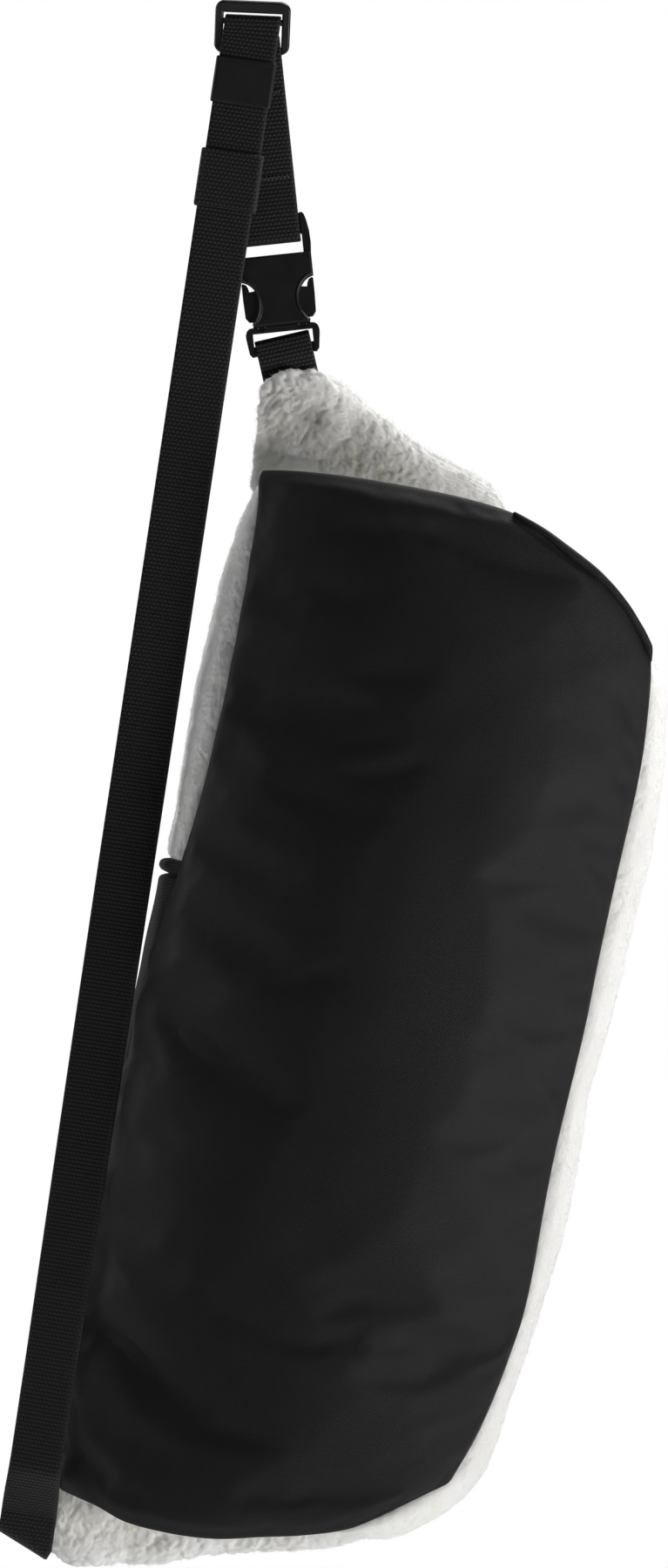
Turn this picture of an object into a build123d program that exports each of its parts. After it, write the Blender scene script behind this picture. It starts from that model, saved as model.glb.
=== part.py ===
"""Hand warmer muff with a waist strap, hanging from its strap slider.

Millimetres, +Z up, +X to the right of the front view, -Y to the front.
The origin is inside the strap loop, just under the slider, where the muff hangs.
"""

import os
from math import cos, radians, sin, tan

from build123d import *

# ---- driving dimensions, millimetres and degrees -------------------------------------

# muff body: an oval tube whose axis leans to the right
MUFF_CENTRE = (52.7, 4.0, -415.0)
MUFF_LEAN = 12.0
HALF_WIDTH = 107.5
SIDE_SHIFT = 3.0
# height along the axis, depth in front of the side seams, depth behind them
FORM_SECTIONS = [
    (-300.0, 42.0, 25.0),
    (-225.0, 46.0, 28.0),
    (-90.0, 53.0, 33.0),
    (60.0, 54.0, 34.0),
    (200.0, 47.0, 29.0),
    (285.0, 41.0, 25.0),
]
CLOTH = 1.5
WADDING = 3.5
FLEECE = 9.0
LAYER_GAP = 0.1
PIPING_WIDTH = 4.0
PIPING_DEPTH = 9.0
BAND_TOP = 37.0
HEM_HEIGHT = 7.0
BODY_REACH = 90.0

# webbing
WEB_WIDTH = 25.0
WEB_THICK = 1.6
WEB_GAP = 0.1
STRAP_LEAN = 8.53
STRAP_CLEAR = 0.35
TAIL_END = -98.0
STRAIGHT_END = -345.0
# height on the strap, depth of its middle and twist, from the straight run to the bottom fold
STRAP_SECTIONS = [
    (STRAIGHT_END, -2.3, 0.0),
    (-415.0, -7.0, 8.0),
    (-520.0, -11.5, 16.0),
    (-600.0, -15.5, 22.0),
    (-655.0, -16.0, 22.0),
    (-676.0, 2.2, 0.0),
]
FOLD_TURN = 23.5
FOLD_Y = -685.5
FOLD_RADIUS = 3.5
FOLD_FRONT = 1.4
SEWN_LENGTH = 17.0

# slider (a three-bar adjuster), tilted by the strap over its middle bar
SLIDER_LEAN = 2.5
SLIDER_TILT = 22.0
SLIDER_WIDTH = 33.8
SLIDER_TOP = 9.5
SLIDER_BOTTOM = -15.0
SLIDER_SLOT = 26.2
SLIDER_THICK = 3.0
SLIDER_TOP_BAR = 5.3
SLIDER_CORNER = 4.5
SLIDER_EDGE = 0.6
BAR_RADIUS = 1.4
MIDDLE_BAR_Z = 16.0
LOWER_BAR_DROP = 13.3

# buckle, on an axis that leans to the left; heights start at the housing's mouth
BUCKLE_LEAN = -6.0
MOUTH = (13.1, 10.6, -119.3)
BUCKLE_WIDTH = 32.8
MOUTH_WIDTH = 25.6
FRAME_WIDTH = 31.4
HOUSING_THICK = 10.0
HOUSING_BODY = 31.5
HOUSING_LENGTH = 49.5
HOUSING_FLARE = 20.0
HOUSING_EDGE = 0.9
SOCKET_THICK = 6.2
SOCKET_DEPTH = 26.5
POCKET_WIDTH = 28.8
POCKET_BOTTOM = 16.5
POCKET_TOP = 22.5
FRAME_SLOT = 26.2
FRAME_THICK = 6.4
BAR_THICK = 2.8
END_BAR_BOTTOM = 39.8
SCALLOP_X = 17.4
SCALLOP_Y = 10.5
SCALLOP_RX = 8.4
SCALLOP_RY = 10.4
RIB_BOTTOM = 17.0
RIB_TOP = 19.0
RIB_INSIDE = 9.3
RIB_OUTSIDE = 10.8
PRONG_THICK = 5.4
PRONG_X = 9.2
KNUCKLE_Y = -0.4
KNUCKLE_RADIUS = 1.6
KNUCKLE_CLEAR = 0.06
# right prong in front view, from the root up the outside to the barb and down the inside
PRONG_OUTLINE = [
    (10.4, 0.5), (10.8, 2.2), (14.4, 2.6), (15.9, 4.6), (16.2, 12.4), (16.2, 19.4), (15.6, 20.0),
    (14.2, 19.3), (13.4, 17.9), (13.0, 16.0), (8.9, 16.5),
    (8.9, 19.4), (11.8, 19.4), (11.0, 22.0), (9.2, 23.4), (6.8, 23.4), (6.6, 6.0), (7.8, 0.5),
]
TONGUE_WIDTH = 5.6
TONGUE_TOP = 20.0
TONGUE_THICK = 4.8
MALE_TOP = -0.2
MALE_BOTTOM = -13.2
MALE_FOOT_WIDTH = 27.0
MALE_SLOT = 26.8
MALE_SLOT_TOP = -2.8
MALE_BAR_TOP = -8.6

# sewn web loops: the bars they hold sit in an eye
EYE_HALF = 1.6
EYE_SLACK = 2.0
PLIES_HALF = 1.65
TAB_LEAN = -13.0
TAB_END = -31.0
TAB_NECK = -11.0
TAB_SLOT_CLEAR = 0.3

# keepers
SMOOTH_KEEPER_TOP = -17.4
SMOOTH_KEEPER_TALL = 20.5
WEB_KEEPER_TOP = -59.0
WEB_KEEPER_TALL = 26.0
KEEPER_CLEAR = 0.15
KEEPER_SKIN = 1.0
KEEPER_WEB_SKIN = 1.5

# thread
THREAD = 0.6
STITCH_CLEAR = 0.1
TACK_TALL = 1.6
TACK_WIDE = 20.0

HALF_WEB = WEB_WIDTH / 2
STRAP_ORIGIN = (0.1, 0.0, MIDDLE_BAR_Z)
PLY_FRONT = BAR_RADIUS + WEB_GAP + WEB_THICK
PLY_BACK = BAR_RADIUS + WEB_GAP
TAIL_BACK = PLY_BACK - WEB_GAP - WEB_THICK

os.makedirs("parts", exist_ok=True)


# ---- frames --------------------------------------------------------------------------


def front_plane(origin, lean, tilt=0.0):
    """Front-view plane: x to the right, y up an axis leaning right, normal to the front.

    A tilt brings its top forward.
    """
    a, t = radians(lean), radians(tilt)
    normal = (-sin(a) * sin(t), -cos(t), -cos(a) * sin(t))
    return Plane(origin=origin, x_dir=(cos(a), 0, -sin(a)), z_dir=normal)


def side_plane(origin, lean):
    """Side-view plane of a leaning piece: x to the back, y up its axis, normal to the right."""
    a = radians(lean)
    return Plane(origin=origin, x_dir=(0, 1, 0), z_dir=(cos(a), 0, -sin(a)))


def cross_plane(origin, lean, height, depth=0.0, twist=0.0):
    """Plane across a leaning axis at a height on it, x to the right, normal up the axis.

    A twist brings its right side forward.
    """
    a, t = radians(lean), radians(twist)
    x, y, z = origin
    here = (x + height * sin(a), y + depth, z + height * cos(a))
    across = (cos(a) * cos(t), -sin(t), -sin(a) * cos(t))
    return Plane(origin=here, x_dir=across, z_dir=(sin(a), 0, cos(a)))


MUFF = front_plane(MUFF_CENTRE, MUFF_LEAN)
STRAP = front_plane(STRAP_ORIGIN, STRAP_LEAN)
BUCKLE = front_plane(MOUTH, BUCKLE_LEAN)


def place(plane, x, y, z):
    """A point given in a plane's own axes, as a point of the part."""
    p = plane.from_local_coords((x, y, z))
    return (p.X, p.Y, p.Z)


def write(piece, label):
    """Label a finished piece and write its STEP file."""
    piece.part.label = label
    export_step(piece.part, f"parts/{label}.step")


# ---- main strap ----------------------------------------------------------------------


def strap_form(grow):
    """The long strap, `grow` larger all round.

    From its tail it goes round the slider's middle bar, down the front of the muff's side,
    and folds under the bottom corner, where it is sewn in.
    """
    half = HALF_WEB + grow
    thick = WEB_THICK + 2 * grow
    rise = HALF_WEB * tan(radians(STRAP_LEAN - SLIDER_LEAN))
    drop = HALF_WEB * tan(radians(FOLD_TURN))
    fold_end = STRAP_SECTIONS[-1][0] + 0.5
    sewn_x = (SEWN_LENGTH + 2 * grow) * sin(radians(2 * FOLD_TURN))
    sewn_y = (SEWN_LENGTH + 2 * grow) * cos(radians(2 * FOLD_TURN))
    fold_depth = FOLD_FRONT + WEB_THICK + FOLD_RADIUS
    sewn_depth = fold_depth + FOLD_RADIUS + WEB_THICK
    with BuildPart() as strap:
        # front ply, from the middle bar down
        with BuildSketch(STRAP.offset(PLY_BACK - grow)):
            Polygon(
                (-half, -rise), (half, rise), (half, STRAIGHT_END), (-half, STRAIGHT_END),
                align=None,
            )
        extrude(amount=thick)
        # turn over the middle bar and back through the lower slot
        with BuildSketch(side_plane(STRAP_ORIGIN, SLIDER_LEAN)):
            Circle(PLY_FRONT + grow)
            Circle(PLY_BACK - grow, mode=Mode.SUBTRACT)
            with Locations((0, -PLY_FRONT)):
                Rectangle(4 * PLY_FRONT, 2 * PLY_FRONT, mode=Mode.SUBTRACT)
            Polygon(
                (PLY_BACK, 0), (PLY_FRONT, 0), (PLY_FRONT, -1.2), (-TAIL_BACK, -5.5),
                (-PLY_BACK + WEB_GAP, -5.5), (PLY_BACK, -1.2),
                align=None,
            )
        extrude(amount=half, both=True)
        # tail behind the front ply
        with BuildSketch(STRAP.offset(TAIL_BACK - grow)):
            Polygon((-half, -6.2), (half, -4.2), (half, TAIL_END), (-half, TAIL_END), align=None)
        extrude(amount=thick)
        # the run down the muff's side turns to lie on it
        for upper, lower in zip(STRAP_SECTIONS[:-1], STRAP_SECTIONS[1:], strict=True):
            for height, depth, twist in (upper, lower):
                with BuildSketch(cross_plane(STRAP_ORIGIN, STRAP_LEAN, height, depth, twist)):
                    Rectangle(2 * half, thick)
            loft()
        # fold at the bottom corner, and the end sewn into the back panel
        with BuildSketch(STRAP.offset(-FOLD_FRONT - WEB_THICK - grow)):
            Polygon(
                (-half, fold_end), (half, fold_end), (half, FOLD_Y - drop), (-half, FOLD_Y + drop),
                align=None,
            )
        extrude(amount=thick)
        with BuildSketch(side_plane(place(STRAP, 0, FOLD_Y, -fold_depth), STRAP_LEAN + FOLD_TURN)):
            Circle(FOLD_RADIUS + WEB_THICK + grow)
            Circle(FOLD_RADIUS - grow, mode=Mode.SUBTRACT)
            with Locations((0, 2 * FOLD_RADIUS)):
                Rectangle(4 * FOLD_RADIUS, 4 * FOLD_RADIUS, mode=Mode.SUBTRACT)
        extrude(amount=half / cos(radians(FOLD_TURN)), both=True)
        with BuildSketch(STRAP.offset(-sewn_depth - grow)):
            Polygon(
                (half, FOLD_Y - drop), (half + sewn_x, FOLD_Y - drop + sewn_y),
                (-half + sewn_x, FOLD_Y + drop + sewn_y), (-half, FOLD_Y + drop),
                align=None,
            )
        extrude(amount=thick)
    return strap.part


with BuildPart() as main_strap:
    add(strap_form(0.0))
write(main_strap, "main_strap")

strap_space = strap_form(STRAP_CLEAR)


# ---- tab web, sewn into the top corner -----------------------------------------------

BAR_MIDDLE = (MALE_BAR_TOP + MALE_BOTTOM) / 2
TAB_ORIGIN = place(BUCKLE, 0, BAR_MIDDLE, 0)
TAB_EYE = (MALE_BAR_TOP - MALE_BOTTOM) / 2 + 0.8


def web_eye(half, centre, knee, neck, neck_half, mode):
    """One end of a sewn loop in side view: round past the bar, then closing to its neck."""
    with Locations(centre):
        Circle(half, mode=mode)
    Polygon(
        (centre[0] - half, centre[1]), (knee[0] - half, knee[1]), (neck[0] - neck_half, neck[1]),
        (neck[0] + neck_half, neck[1]), (knee[0] + half, knee[1]), (centre[0] + half, centre[1]),
        align=None,
        mode=mode,
    )


with BuildPart() as tab_web:
    with BuildSketch(side_plane(TAB_ORIGIN, TAB_LEAN)):
        eye, knee = (0, TAB_EYE), (0, -4.6)
        web_eye(EYE_HALF + WEB_THICK, eye, knee, (0, TAB_NECK), PLIES_HALF, Mode.ADD)
        with Locations((0, (TAB_NECK + TAB_END) / 2)):
            Rectangle(2 * PLIES_HALF, TAB_NECK - TAB_END)
        web_eye(EYE_HALF, eye, knee, (0, TAB_NECK + 1.2), 0.1, Mode.SUBTRACT)
    extrude(amount=HALF_WEB, both=True)
write(tab_web, "tab_web")

with BuildPart() as tab_slot:
    with BuildSketch(side_plane(TAB_ORIGIN, TAB_LEAN)):
        with Locations((0, TAB_END / 2)):
            Rectangle(2 * (PLIES_HALF + TAB_SLOT_CLEAR), -TAB_END + 2 * TAB_SLOT_CLEAR)
    extrude(amount=HALF_WEB + TAB_SLOT_CLEAR, both=True)


# ---- muff body -----------------------------------------------------------------------


def muff_form(inset):
    """The tube's solid form, `inset` inside the outer cloth."""
    width = HALF_WIDTH - inset
    with BuildPart() as form:
        for height, front, back in FORM_SECTIONS:
            with BuildSketch(cross_plane(MUFF_CENTRE, MUFF_LEAN, height)):
                with BuildLine():
                    EllipticalCenterArc((SIDE_SHIFT, 0), width, front - inset, 180, arc_size=180)
                    EllipticalCenterArc((SIDE_SHIFT, 0), width, back - inset, 0, arc_size=180)
                make_face()
        loft()
    return form.part


def front_outline(arch_inset):
    """Front panel seen from the front; its upper right arch may stop short of the piping."""
    k = arch_inset * sin(radians(45))
    with BuildSketch() as outline:
        with BuildLine():
            top = (17, 218.5)
            side = (92.5, 169)
            corner = (97.5, -129)
            foot = (60, -224.5)
            ThreePointArc((-95.8, 214.5), (-40, 219.5), top)
            ThreePointArc(top, (68.4 - k, 194 - k), side)
            ThreePointArc(side, (98.2, 20), corner)
            ThreePointArc(corner, (88.6, -184.5), foot)
            ThreePointArc(foot, (-16.5, -254.3), (-89.5, -248.7))
            Spline((-89.5, -248.7), (-99.6, -130), (-92.0, 70), (-95.8, 214.5))
        make_face()
    return outline.sketch


def back_outline():
    """Back panel seen from the front, with the strap flaps at its left corners."""
    with BuildSketch() as outline:
        with BuildLine():
            Polyline((-106, 222), (-105.5, 252), (-101, 256.5), (-80, 265))
            Spline((-80, 265), (-33.6, 242.5), (15, 218))
            ThreePointArc((15, 218), (66.5, 192.5), (90.5, 167.5))
            ThreePointArc((90.5, 167.5), (107, 147), (112, 118))
            Line((112, 118), (112, -90))
            ThreePointArc((112, -90), (101, -180), (66, -238))
            Spline((66, -238), (3.7, -259.6), (-40, -273.2), (-82, -284))
            Polyline(
                (-82, -284), (-83, -278.5), (-108.3, -269.3), (-108.3, -240), (-106, 222)
            )
        make_face()
    return outline.sketch


outer_form = muff_form(0)
cloth_form = muff_form(CLOTH)
wadding_outer = muff_form(CLOTH + LAYER_GAP)
wadding_inner = muff_form(CLOTH + WADDING)
lining_outer = muff_form(CLOTH + WADDING + LAYER_GAP)
lining_inner = muff_form(CLOTH + WADDING + FLEECE)
piping_inner = muff_form(PIPING_DEPTH)
front_face = MUFF * front_outline(0)
front_core = MUFF * front_outline(PIPING_WIDTH)
back_face = MUFF * back_outline()


def front_layer(outer, inner, label):
    """One layer of the front panel, between two forms."""
    with BuildPart() as layer:
        add(outer)
        add(inner, mode=Mode.SUBTRACT)
        extrude(front_core, amount=BODY_REACH, mode=Mode.INTERSECT)
        add(strap_space, mode=Mode.SUBTRACT)
    write(layer, label)


def back_layer(outer, inner, label):
    """One layer of the back panel, between two forms, with room for the sewn webs."""
    with BuildPart() as layer:
        add(outer)
        add(inner, mode=Mode.SUBTRACT)
        extrude(back_face, amount=-BODY_REACH, mode=Mode.INTERSECT)
        add(strap_space, mode=Mode.SUBTRACT)
        add(tab_slot.part, mode=Mode.SUBTRACT)
    write(layer, label)


front_layer(outer_form, cloth_form, "front_shell")
front_layer(wadding_outer, wadding_inner, "front_wadding")
front_layer(lining_outer, lining_inner, "front_lining")
back_layer(outer_form, cloth_form, "back_shell")
back_layer(wadding_outer, wadding_inner, "back_wadding")
back_layer(lining_outer, lining_inner, "back_lining")


def side_strip(corners, label):
    """A strip of the tube's wall outside the front panel's seam, in front of the side."""
    with BuildPart() as strip:
        add(outer_form)
        add(lining_inner, mode=Mode.SUBTRACT)
        with BuildSketch(MUFF):
            Polygon(*corners, align=None)
        extrude(amount=BODY_REACH, mode=Mode.INTERSECT)
        extrude(front_face, amount=BODY_REACH, mode=Mode.SUBTRACT)
        add(strap_space, mode=Mode.SUBTRACT)
    write(strip, label)


side_strip(
    [(90, 168), (101, 159), (112, 130), (112, -95), (103, -142), (99, -180), (92, -205), (80, -204)],
    "right_side_fleece",
)
side_strip([(-112, BAND_TOP + 0.2), (-112, 206), (-85, 206), (-85, BAND_TOP + 0.2)], "left_side_fleece")
hem_bottom = BAND_TOP - HEM_HEIGHT
side_strip(
    [(-112, hem_bottom - 0.2), (-112, -240), (-85, -240), (-85, hem_bottom - 0.2)], "side_band"
)
side_strip(
    [(-112, hem_bottom), (-112, BAND_TOP), (-85, BAND_TOP), (-85, hem_bottom)], "side_band_hem"
)

with BuildPart() as corner_piping:
    add(outer_form)
    add(piping_inner, mode=Mode.SUBTRACT)
    extrude(front_face, amount=BODY_REACH, mode=Mode.INTERSECT)
    extrude(front_core, amount=BODY_REACH, mode=Mode.SUBTRACT)
write(corner_piping, "corner_piping")


# ---- slider --------------------------------------------------------------------------

SLIDER = front_plane(STRAP_ORIGIN, SLIDER_LEAN, SLIDER_TILT)


def cross_bar(plane, y, half_span, thick, tall):
    """A bar with rounded edges across a frame, centred at height y of its plane."""
    start = place(plane, -half_span, y, 0)
    with BuildSketch(Plane(origin=start, x_dir=plane.y_dir, z_dir=plane.x_dir)) as section:
        RectangleRounded(tall, thick, thick / 2 - 0.05)
    extrude(section.sketch, amount=2 * half_span)


with BuildPart() as slider:
    with BuildSketch(SLIDER.offset(-SLIDER_THICK / 2)):
        with Locations((0, (SLIDER_TOP + SLIDER_BOTTOM) / 2)):
            RectangleRounded(SLIDER_WIDTH, SLIDER_TOP - SLIDER_BOTTOM, SLIDER_CORNER)
        inside_top = SLIDER_TOP - SLIDER_TOP_BAR
        with Locations((0, (inside_top + SLIDER_BOTTOM) / 2)):
            Rectangle(SLIDER_SLOT, inside_top - SLIDER_BOTTOM, mode=Mode.SUBTRACT)
    extrude(amount=SLIDER_THICK)
    chamfer(slider.faces().filter_by(SLIDER).edges(), SLIDER_EDGE)
    for height in (0, -LOWER_BAR_DROP):
        cross_bar(SLIDER, height, SLIDER_SLOT / 2 + 0.5, 2 * BAR_RADIUS, 2 * BAR_RADIUS)
write(slider, "slider")


# ---- buckle --------------------------------------------------------------------------


def mirrored(points):
    """A closed outline from its right half, listed from bottom to top."""
    return points + [(-x, y) for x, y in reversed(points)]


with BuildPart() as female_housing:
    wide, mouth, frame = BUCKLE_WIDTH / 2, MOUTH_WIDTH / 2, FRAME_WIDTH / 2
    # hollow body, with a thumb scallop at each side
    with BuildSketch(BUCKLE.offset(-HOUSING_THICK / 2)):
        Polygon(*mirrored([(mouth, 0), (wide, HOUSING_FLARE), (wide, HOUSING_BODY)]), align=None)
        with Locations((SCALLOP_X, SCALLOP_Y), (-SCALLOP_X, SCALLOP_Y)):
            Ellipse(SCALLOP_RX, SCALLOP_RY, mode=Mode.SUBTRACT)
    extrude(amount=HOUSING_THICK)
    chamfer(female_housing.faces().filter_by(BUCKLE).edges(), HOUSING_EDGE)
    with BuildSketch(BUCKLE.offset(-SOCKET_THICK / 2)):
        with Locations((0, SOCKET_DEPTH / 2 - 1)):
            Rectangle(MOUTH_WIDTH, SOCKET_DEPTH + 2)
        # room at the sides for the prongs' tips when they are pressed in
        with Locations((0, (POCKET_BOTTOM + POCKET_TOP) / 2)):
            Rectangle(POCKET_WIDTH, POCKET_TOP - POCKET_BOTTOM)
    extrude(amount=SOCKET_THICK, mode=Mode.SUBTRACT)
    # ribs that the prongs' barbs catch
    with BuildSketch(BUCKLE.offset(-SOCKET_THICK / 2 - 1)):
        with Locations(*[(side * (RIB_INSIDE + RIB_OUTSIDE) / 2, (RIB_BOTTOM + RIB_TOP) / 2)
                         for side in (-1, 1)]):
            Rectangle(RIB_OUTSIDE - RIB_INSIDE, RIB_TOP - RIB_BOTTOM)
    extrude(amount=SOCKET_THICK + 2)
    # strap frame above the body
    with BuildSketch(BUCKLE.offset(-FRAME_THICK / 2)):
        Polygon(
            *mirrored([
                (wide, HOUSING_BODY - 1), (wide + 0.4, HOUSING_BODY + 4),
                (wide + 0.2, HOUSING_LENGTH - 8.5), (frame, HOUSING_LENGTH - 3.5),
                (frame - 0.7, HOUSING_LENGTH - 1.1), (frame - 1.6, HOUSING_LENGTH),
            ]),
            align=None,
        )
        with Locations((0, (HOUSING_BODY + HOUSING_LENGTH) / 2)):
            Rectangle(FRAME_SLOT, HOUSING_LENGTH - HOUSING_BODY + 1, mode=Mode.SUBTRACT)
    extrude(amount=FRAME_THICK)
    end_bar_tall = HOUSING_LENGTH - END_BAR_BOTTOM
    cross_bar(BUCKLE, HOUSING_LENGTH - end_bar_tall / 2, FRAME_SLOT / 2 + 1, BAR_THICK, end_bar_tall)
write(female_housing, "female_housing")

with BuildPart() as male_base:
    wide, foot = BUCKLE_WIDTH / 2 + 0.2, MALE_FOOT_WIDTH / 2
    with BuildSketch(BUCKLE.offset(-FRAME_THICK / 2)):
        Polygon(
            *mirrored([
                (foot + 1, MALE_BOTTOM), (foot + 2.2, MALE_BOTTOM + 1.5), (wide, MALE_SLOT_TOP - 2),
                (wide, MALE_TOP - 3.0), (wide - 0.6, MALE_TOP - 1.3), (wide - 1.7, MALE_TOP - 0.3),
                (wide - 3.0, MALE_TOP),
            ]),
            align=None,
        )
        with Locations((0, (MALE_SLOT_TOP + MALE_BOTTOM) / 2 - 1)):
            Rectangle(MALE_SLOT, MALE_SLOT_TOP - MALE_BOTTOM + 2, mode=Mode.SUBTRACT)
        with Locations((PRONG_X, KNUCKLE_Y), (-PRONG_X, KNUCKLE_Y)):
            Circle(KNUCKLE_RADIUS + KNUCKLE_CLEAR, mode=Mode.SUBTRACT)
    extrude(amount=FRAME_THICK)
    cross_bar(BUCKLE, BAR_MIDDLE, MALE_SLOT / 2 + 0.6, BAR_THICK, MALE_BAR_TOP - MALE_BOTTOM)
    with BuildSketch(BUCKLE.offset(-TONGUE_THICK / 2)):
        with Locations((0, (MALE_TOP + TONGUE_TOP) / 2 - 0.5)):
            RectangleRounded(TONGUE_WIDTH, TONGUE_TOP - MALE_TOP + 1, 1.2)
    extrude(amount=TONGUE_THICK)
write(male_base, "male_base")

for side, label in ((-1, "prong_left"), (1, "prong_right")):
    with BuildPart() as prong:
        with BuildSketch(BUCKLE.offset(-PRONG_THICK / 2)):
            Polygon(*[(side * x, y) for x, y in PRONG_OUTLINE], align=None)
            with Locations((side * PRONG_X, KNUCKLE_Y)):
                Circle(KNUCKLE_RADIUS)
        extrude(amount=PRONG_THICK)
    write(prong, label)


# ---- buckle strap, a sewn loop from the slider to the housing ------------------------

BUCKLE_SIDE = side_plane(MOUTH, BUCKLE_LEAN)
lower_bar = BUCKLE_SIDE.to_local_coords(Vector(*place(SLIDER, 0, -LOWER_BAR_DROP, 0)))
upper_eye = (lower_bar.X, lower_bar.Y + EYE_SLACK)
lower_eye = (0, END_BAR_BOTTOM - 0.3)


def strand_depth(height):
    """Depth of the strap's middle line at a height above the housing's mouth."""
    return lower_bar.X * (height - HOUSING_LENGTH) / (lower_bar.Y - HOUSING_LENGTH)


UPPER_KNEE, UPPER_NECK, LOWER_NECK, LOWER_KNEE = 120.5, 110.0, 60.0, 50.5
upper_knee = (lower_bar.X, UPPER_KNEE)
lower_knee = (0, LOWER_KNEE)
upper_neck = (strand_depth(UPPER_NECK), UPPER_NECK)
lower_neck = (strand_depth(LOWER_NECK), LOWER_NECK)
outer_half = EYE_HALF + WEB_THICK

with BuildPart() as buckle_strap:
    with BuildSketch(BUCKLE_SIDE):
        web_eye(outer_half, upper_eye, upper_knee, upper_neck, PLIES_HALF, Mode.ADD)
        web_eye(outer_half, lower_eye, lower_knee, lower_neck, PLIES_HALF, Mode.ADD)
        Polygon(
            (upper_neck[0] - PLIES_HALF, upper_neck[1]), (lower_neck[0] - PLIES_HALF, lower_neck[1]),
            (lower_neck[0] + PLIES_HALF, lower_neck[1]), (upper_neck[0] + PLIES_HALF, upper_neck[1]),
            align=None,
        )
        tip = (strand_depth(UPPER_NECK + 1.2), UPPER_NECK + 1.2)
        web_eye(EYE_HALF, upper_eye, upper_knee, tip, 0.1, Mode.SUBTRACT)
        tip = (strand_depth(LOWER_NECK - 1.2), LOWER_NECK - 1.2)
        web_eye(EYE_HALF, lower_eye, lower_knee, tip, 0.1, Mode.SUBTRACT)
    extrude(amount=HALF_WEB, both=True)
write(buckle_strap, "buckle_strap")

for height, label in ((104.0, "upper_bartack"), (66.0, "lower_bartack")):
    middle = strand_depth(height)
    with BuildPart() as bartack:
        with BuildSketch(BUCKLE_SIDE):
            reach = PLIES_HALF + 0.15 + THREAD / 2
            with Locations((middle - reach, height), (middle + reach, height)):
                Rectangle(THREAD, TACK_TALL)
        extrude(amount=TACK_WIDE / 2, both=True)
    write(bartack, label)


# ---- keepers -------------------------------------------------------------------------


def keeper(top, tall, skin, label):
    """A sleeve round both plies of the strap."""
    gap = KEEPER_CLEAR
    front, back = PLY_FRONT + gap, TAIL_BACK - gap
    with BuildPart() as sleeve:
        with BuildSketch(cross_plane(STRAP_ORIGIN, STRAP_LEAN, top - tall, -(front + back) / 2)):
            RectangleRounded(
                WEB_WIDTH + 2 * (gap + skin), front - back + 2 * skin, min(skin, 1.2)
            )
            Rectangle(WEB_WIDTH + 2 * gap, front - back, mode=Mode.SUBTRACT)
        extrude(amount=tall)
    write(sleeve, label)


keeper(SMOOTH_KEEPER_TOP, SMOOTH_KEEPER_TALL, KEEPER_SKIN, "smooth_keeper")
keeper(WEB_KEEPER_TOP, WEB_KEEPER_TALL, KEEPER_WEB_SKIN, "web_keeper")


# ---- anchor stitches on the back panel's corners -------------------------------------

STITCH_BOX = (20.0, 13.0)

with BuildPart() as anchor_stitches:
    add(muff_form(-THREAD - STITCH_CLEAR))
    add(muff_form(-STITCH_CLEAR), mode=Mode.SUBTRACT)
    with BuildSketch(MUFF):
        for corner, turn in (((-85.0, 246.0), -25.0), ((-88.0, -258.0), 35.0)):
            with Locations(Location(corner, turn)):
                Rectangle(*STITCH_BOX)
                Rectangle(STITCH_BOX[0] - 1.6, STITCH_BOX[1] - 1.6, mode=Mode.SUBTRACT)
    extrude(amount=-BODY_REACH, mode=Mode.INTERSECT)
write(anchor_stitches, "anchor_stitches")
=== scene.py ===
"""Looks for the hand warmer muff: cloth, shearling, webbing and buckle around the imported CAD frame.

Shapes are worked out in millimetres in the part's frame, and written to meshes in metres.
"""

import itertools
import math

import bmesh
import bpy
import numpy as np
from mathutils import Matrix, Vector


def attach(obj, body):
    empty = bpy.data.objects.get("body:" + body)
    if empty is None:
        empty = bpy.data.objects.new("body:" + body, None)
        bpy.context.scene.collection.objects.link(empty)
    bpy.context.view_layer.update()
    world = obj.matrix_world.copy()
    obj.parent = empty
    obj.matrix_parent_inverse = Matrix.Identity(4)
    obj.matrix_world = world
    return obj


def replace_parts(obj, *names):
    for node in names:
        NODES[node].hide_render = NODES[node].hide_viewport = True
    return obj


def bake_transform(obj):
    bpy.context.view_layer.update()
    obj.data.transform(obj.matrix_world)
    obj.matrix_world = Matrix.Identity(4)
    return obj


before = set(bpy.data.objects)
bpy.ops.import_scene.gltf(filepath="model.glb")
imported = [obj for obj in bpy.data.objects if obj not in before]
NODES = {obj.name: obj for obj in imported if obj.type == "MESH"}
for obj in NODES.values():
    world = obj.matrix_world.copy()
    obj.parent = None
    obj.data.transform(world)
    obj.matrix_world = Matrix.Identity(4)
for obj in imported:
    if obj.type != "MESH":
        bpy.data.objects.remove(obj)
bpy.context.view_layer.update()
MM = 0.001

# ---- the part's own frames, mm ----

FRONT = np.array([0.0, -1.0, 0.0])


def axes(lean):
    """Unit vectors to the right and up, in a front view leaning right by `lean` degrees."""
    a = math.radians(lean)
    return np.array([math.cos(a), 0, -math.sin(a)]), np.array([math.sin(a), 0, math.cos(a)])


MUFF_C = np.array([52.7, 4.0, -415.0])
MUFF_U, MUFF_W = axes(12.0)
RADIUS, SHIFT = 107.5, 3.0
SECTION_W = [-300.0, -225.0, -90.0, 60.0, 200.0, 285.0]
FRONT_FIT = np.polyfit(SECTION_W, [42.0, 46.0, 53.0, 54.0, 47.0, 41.0], 4)
BACK_FIT = np.polyfit(SECTION_W, [25.0, 28.0, 33.0, 34.0, 29.0, 25.0], 4)
SIDE_S = RADIUS * math.pi / 2

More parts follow.
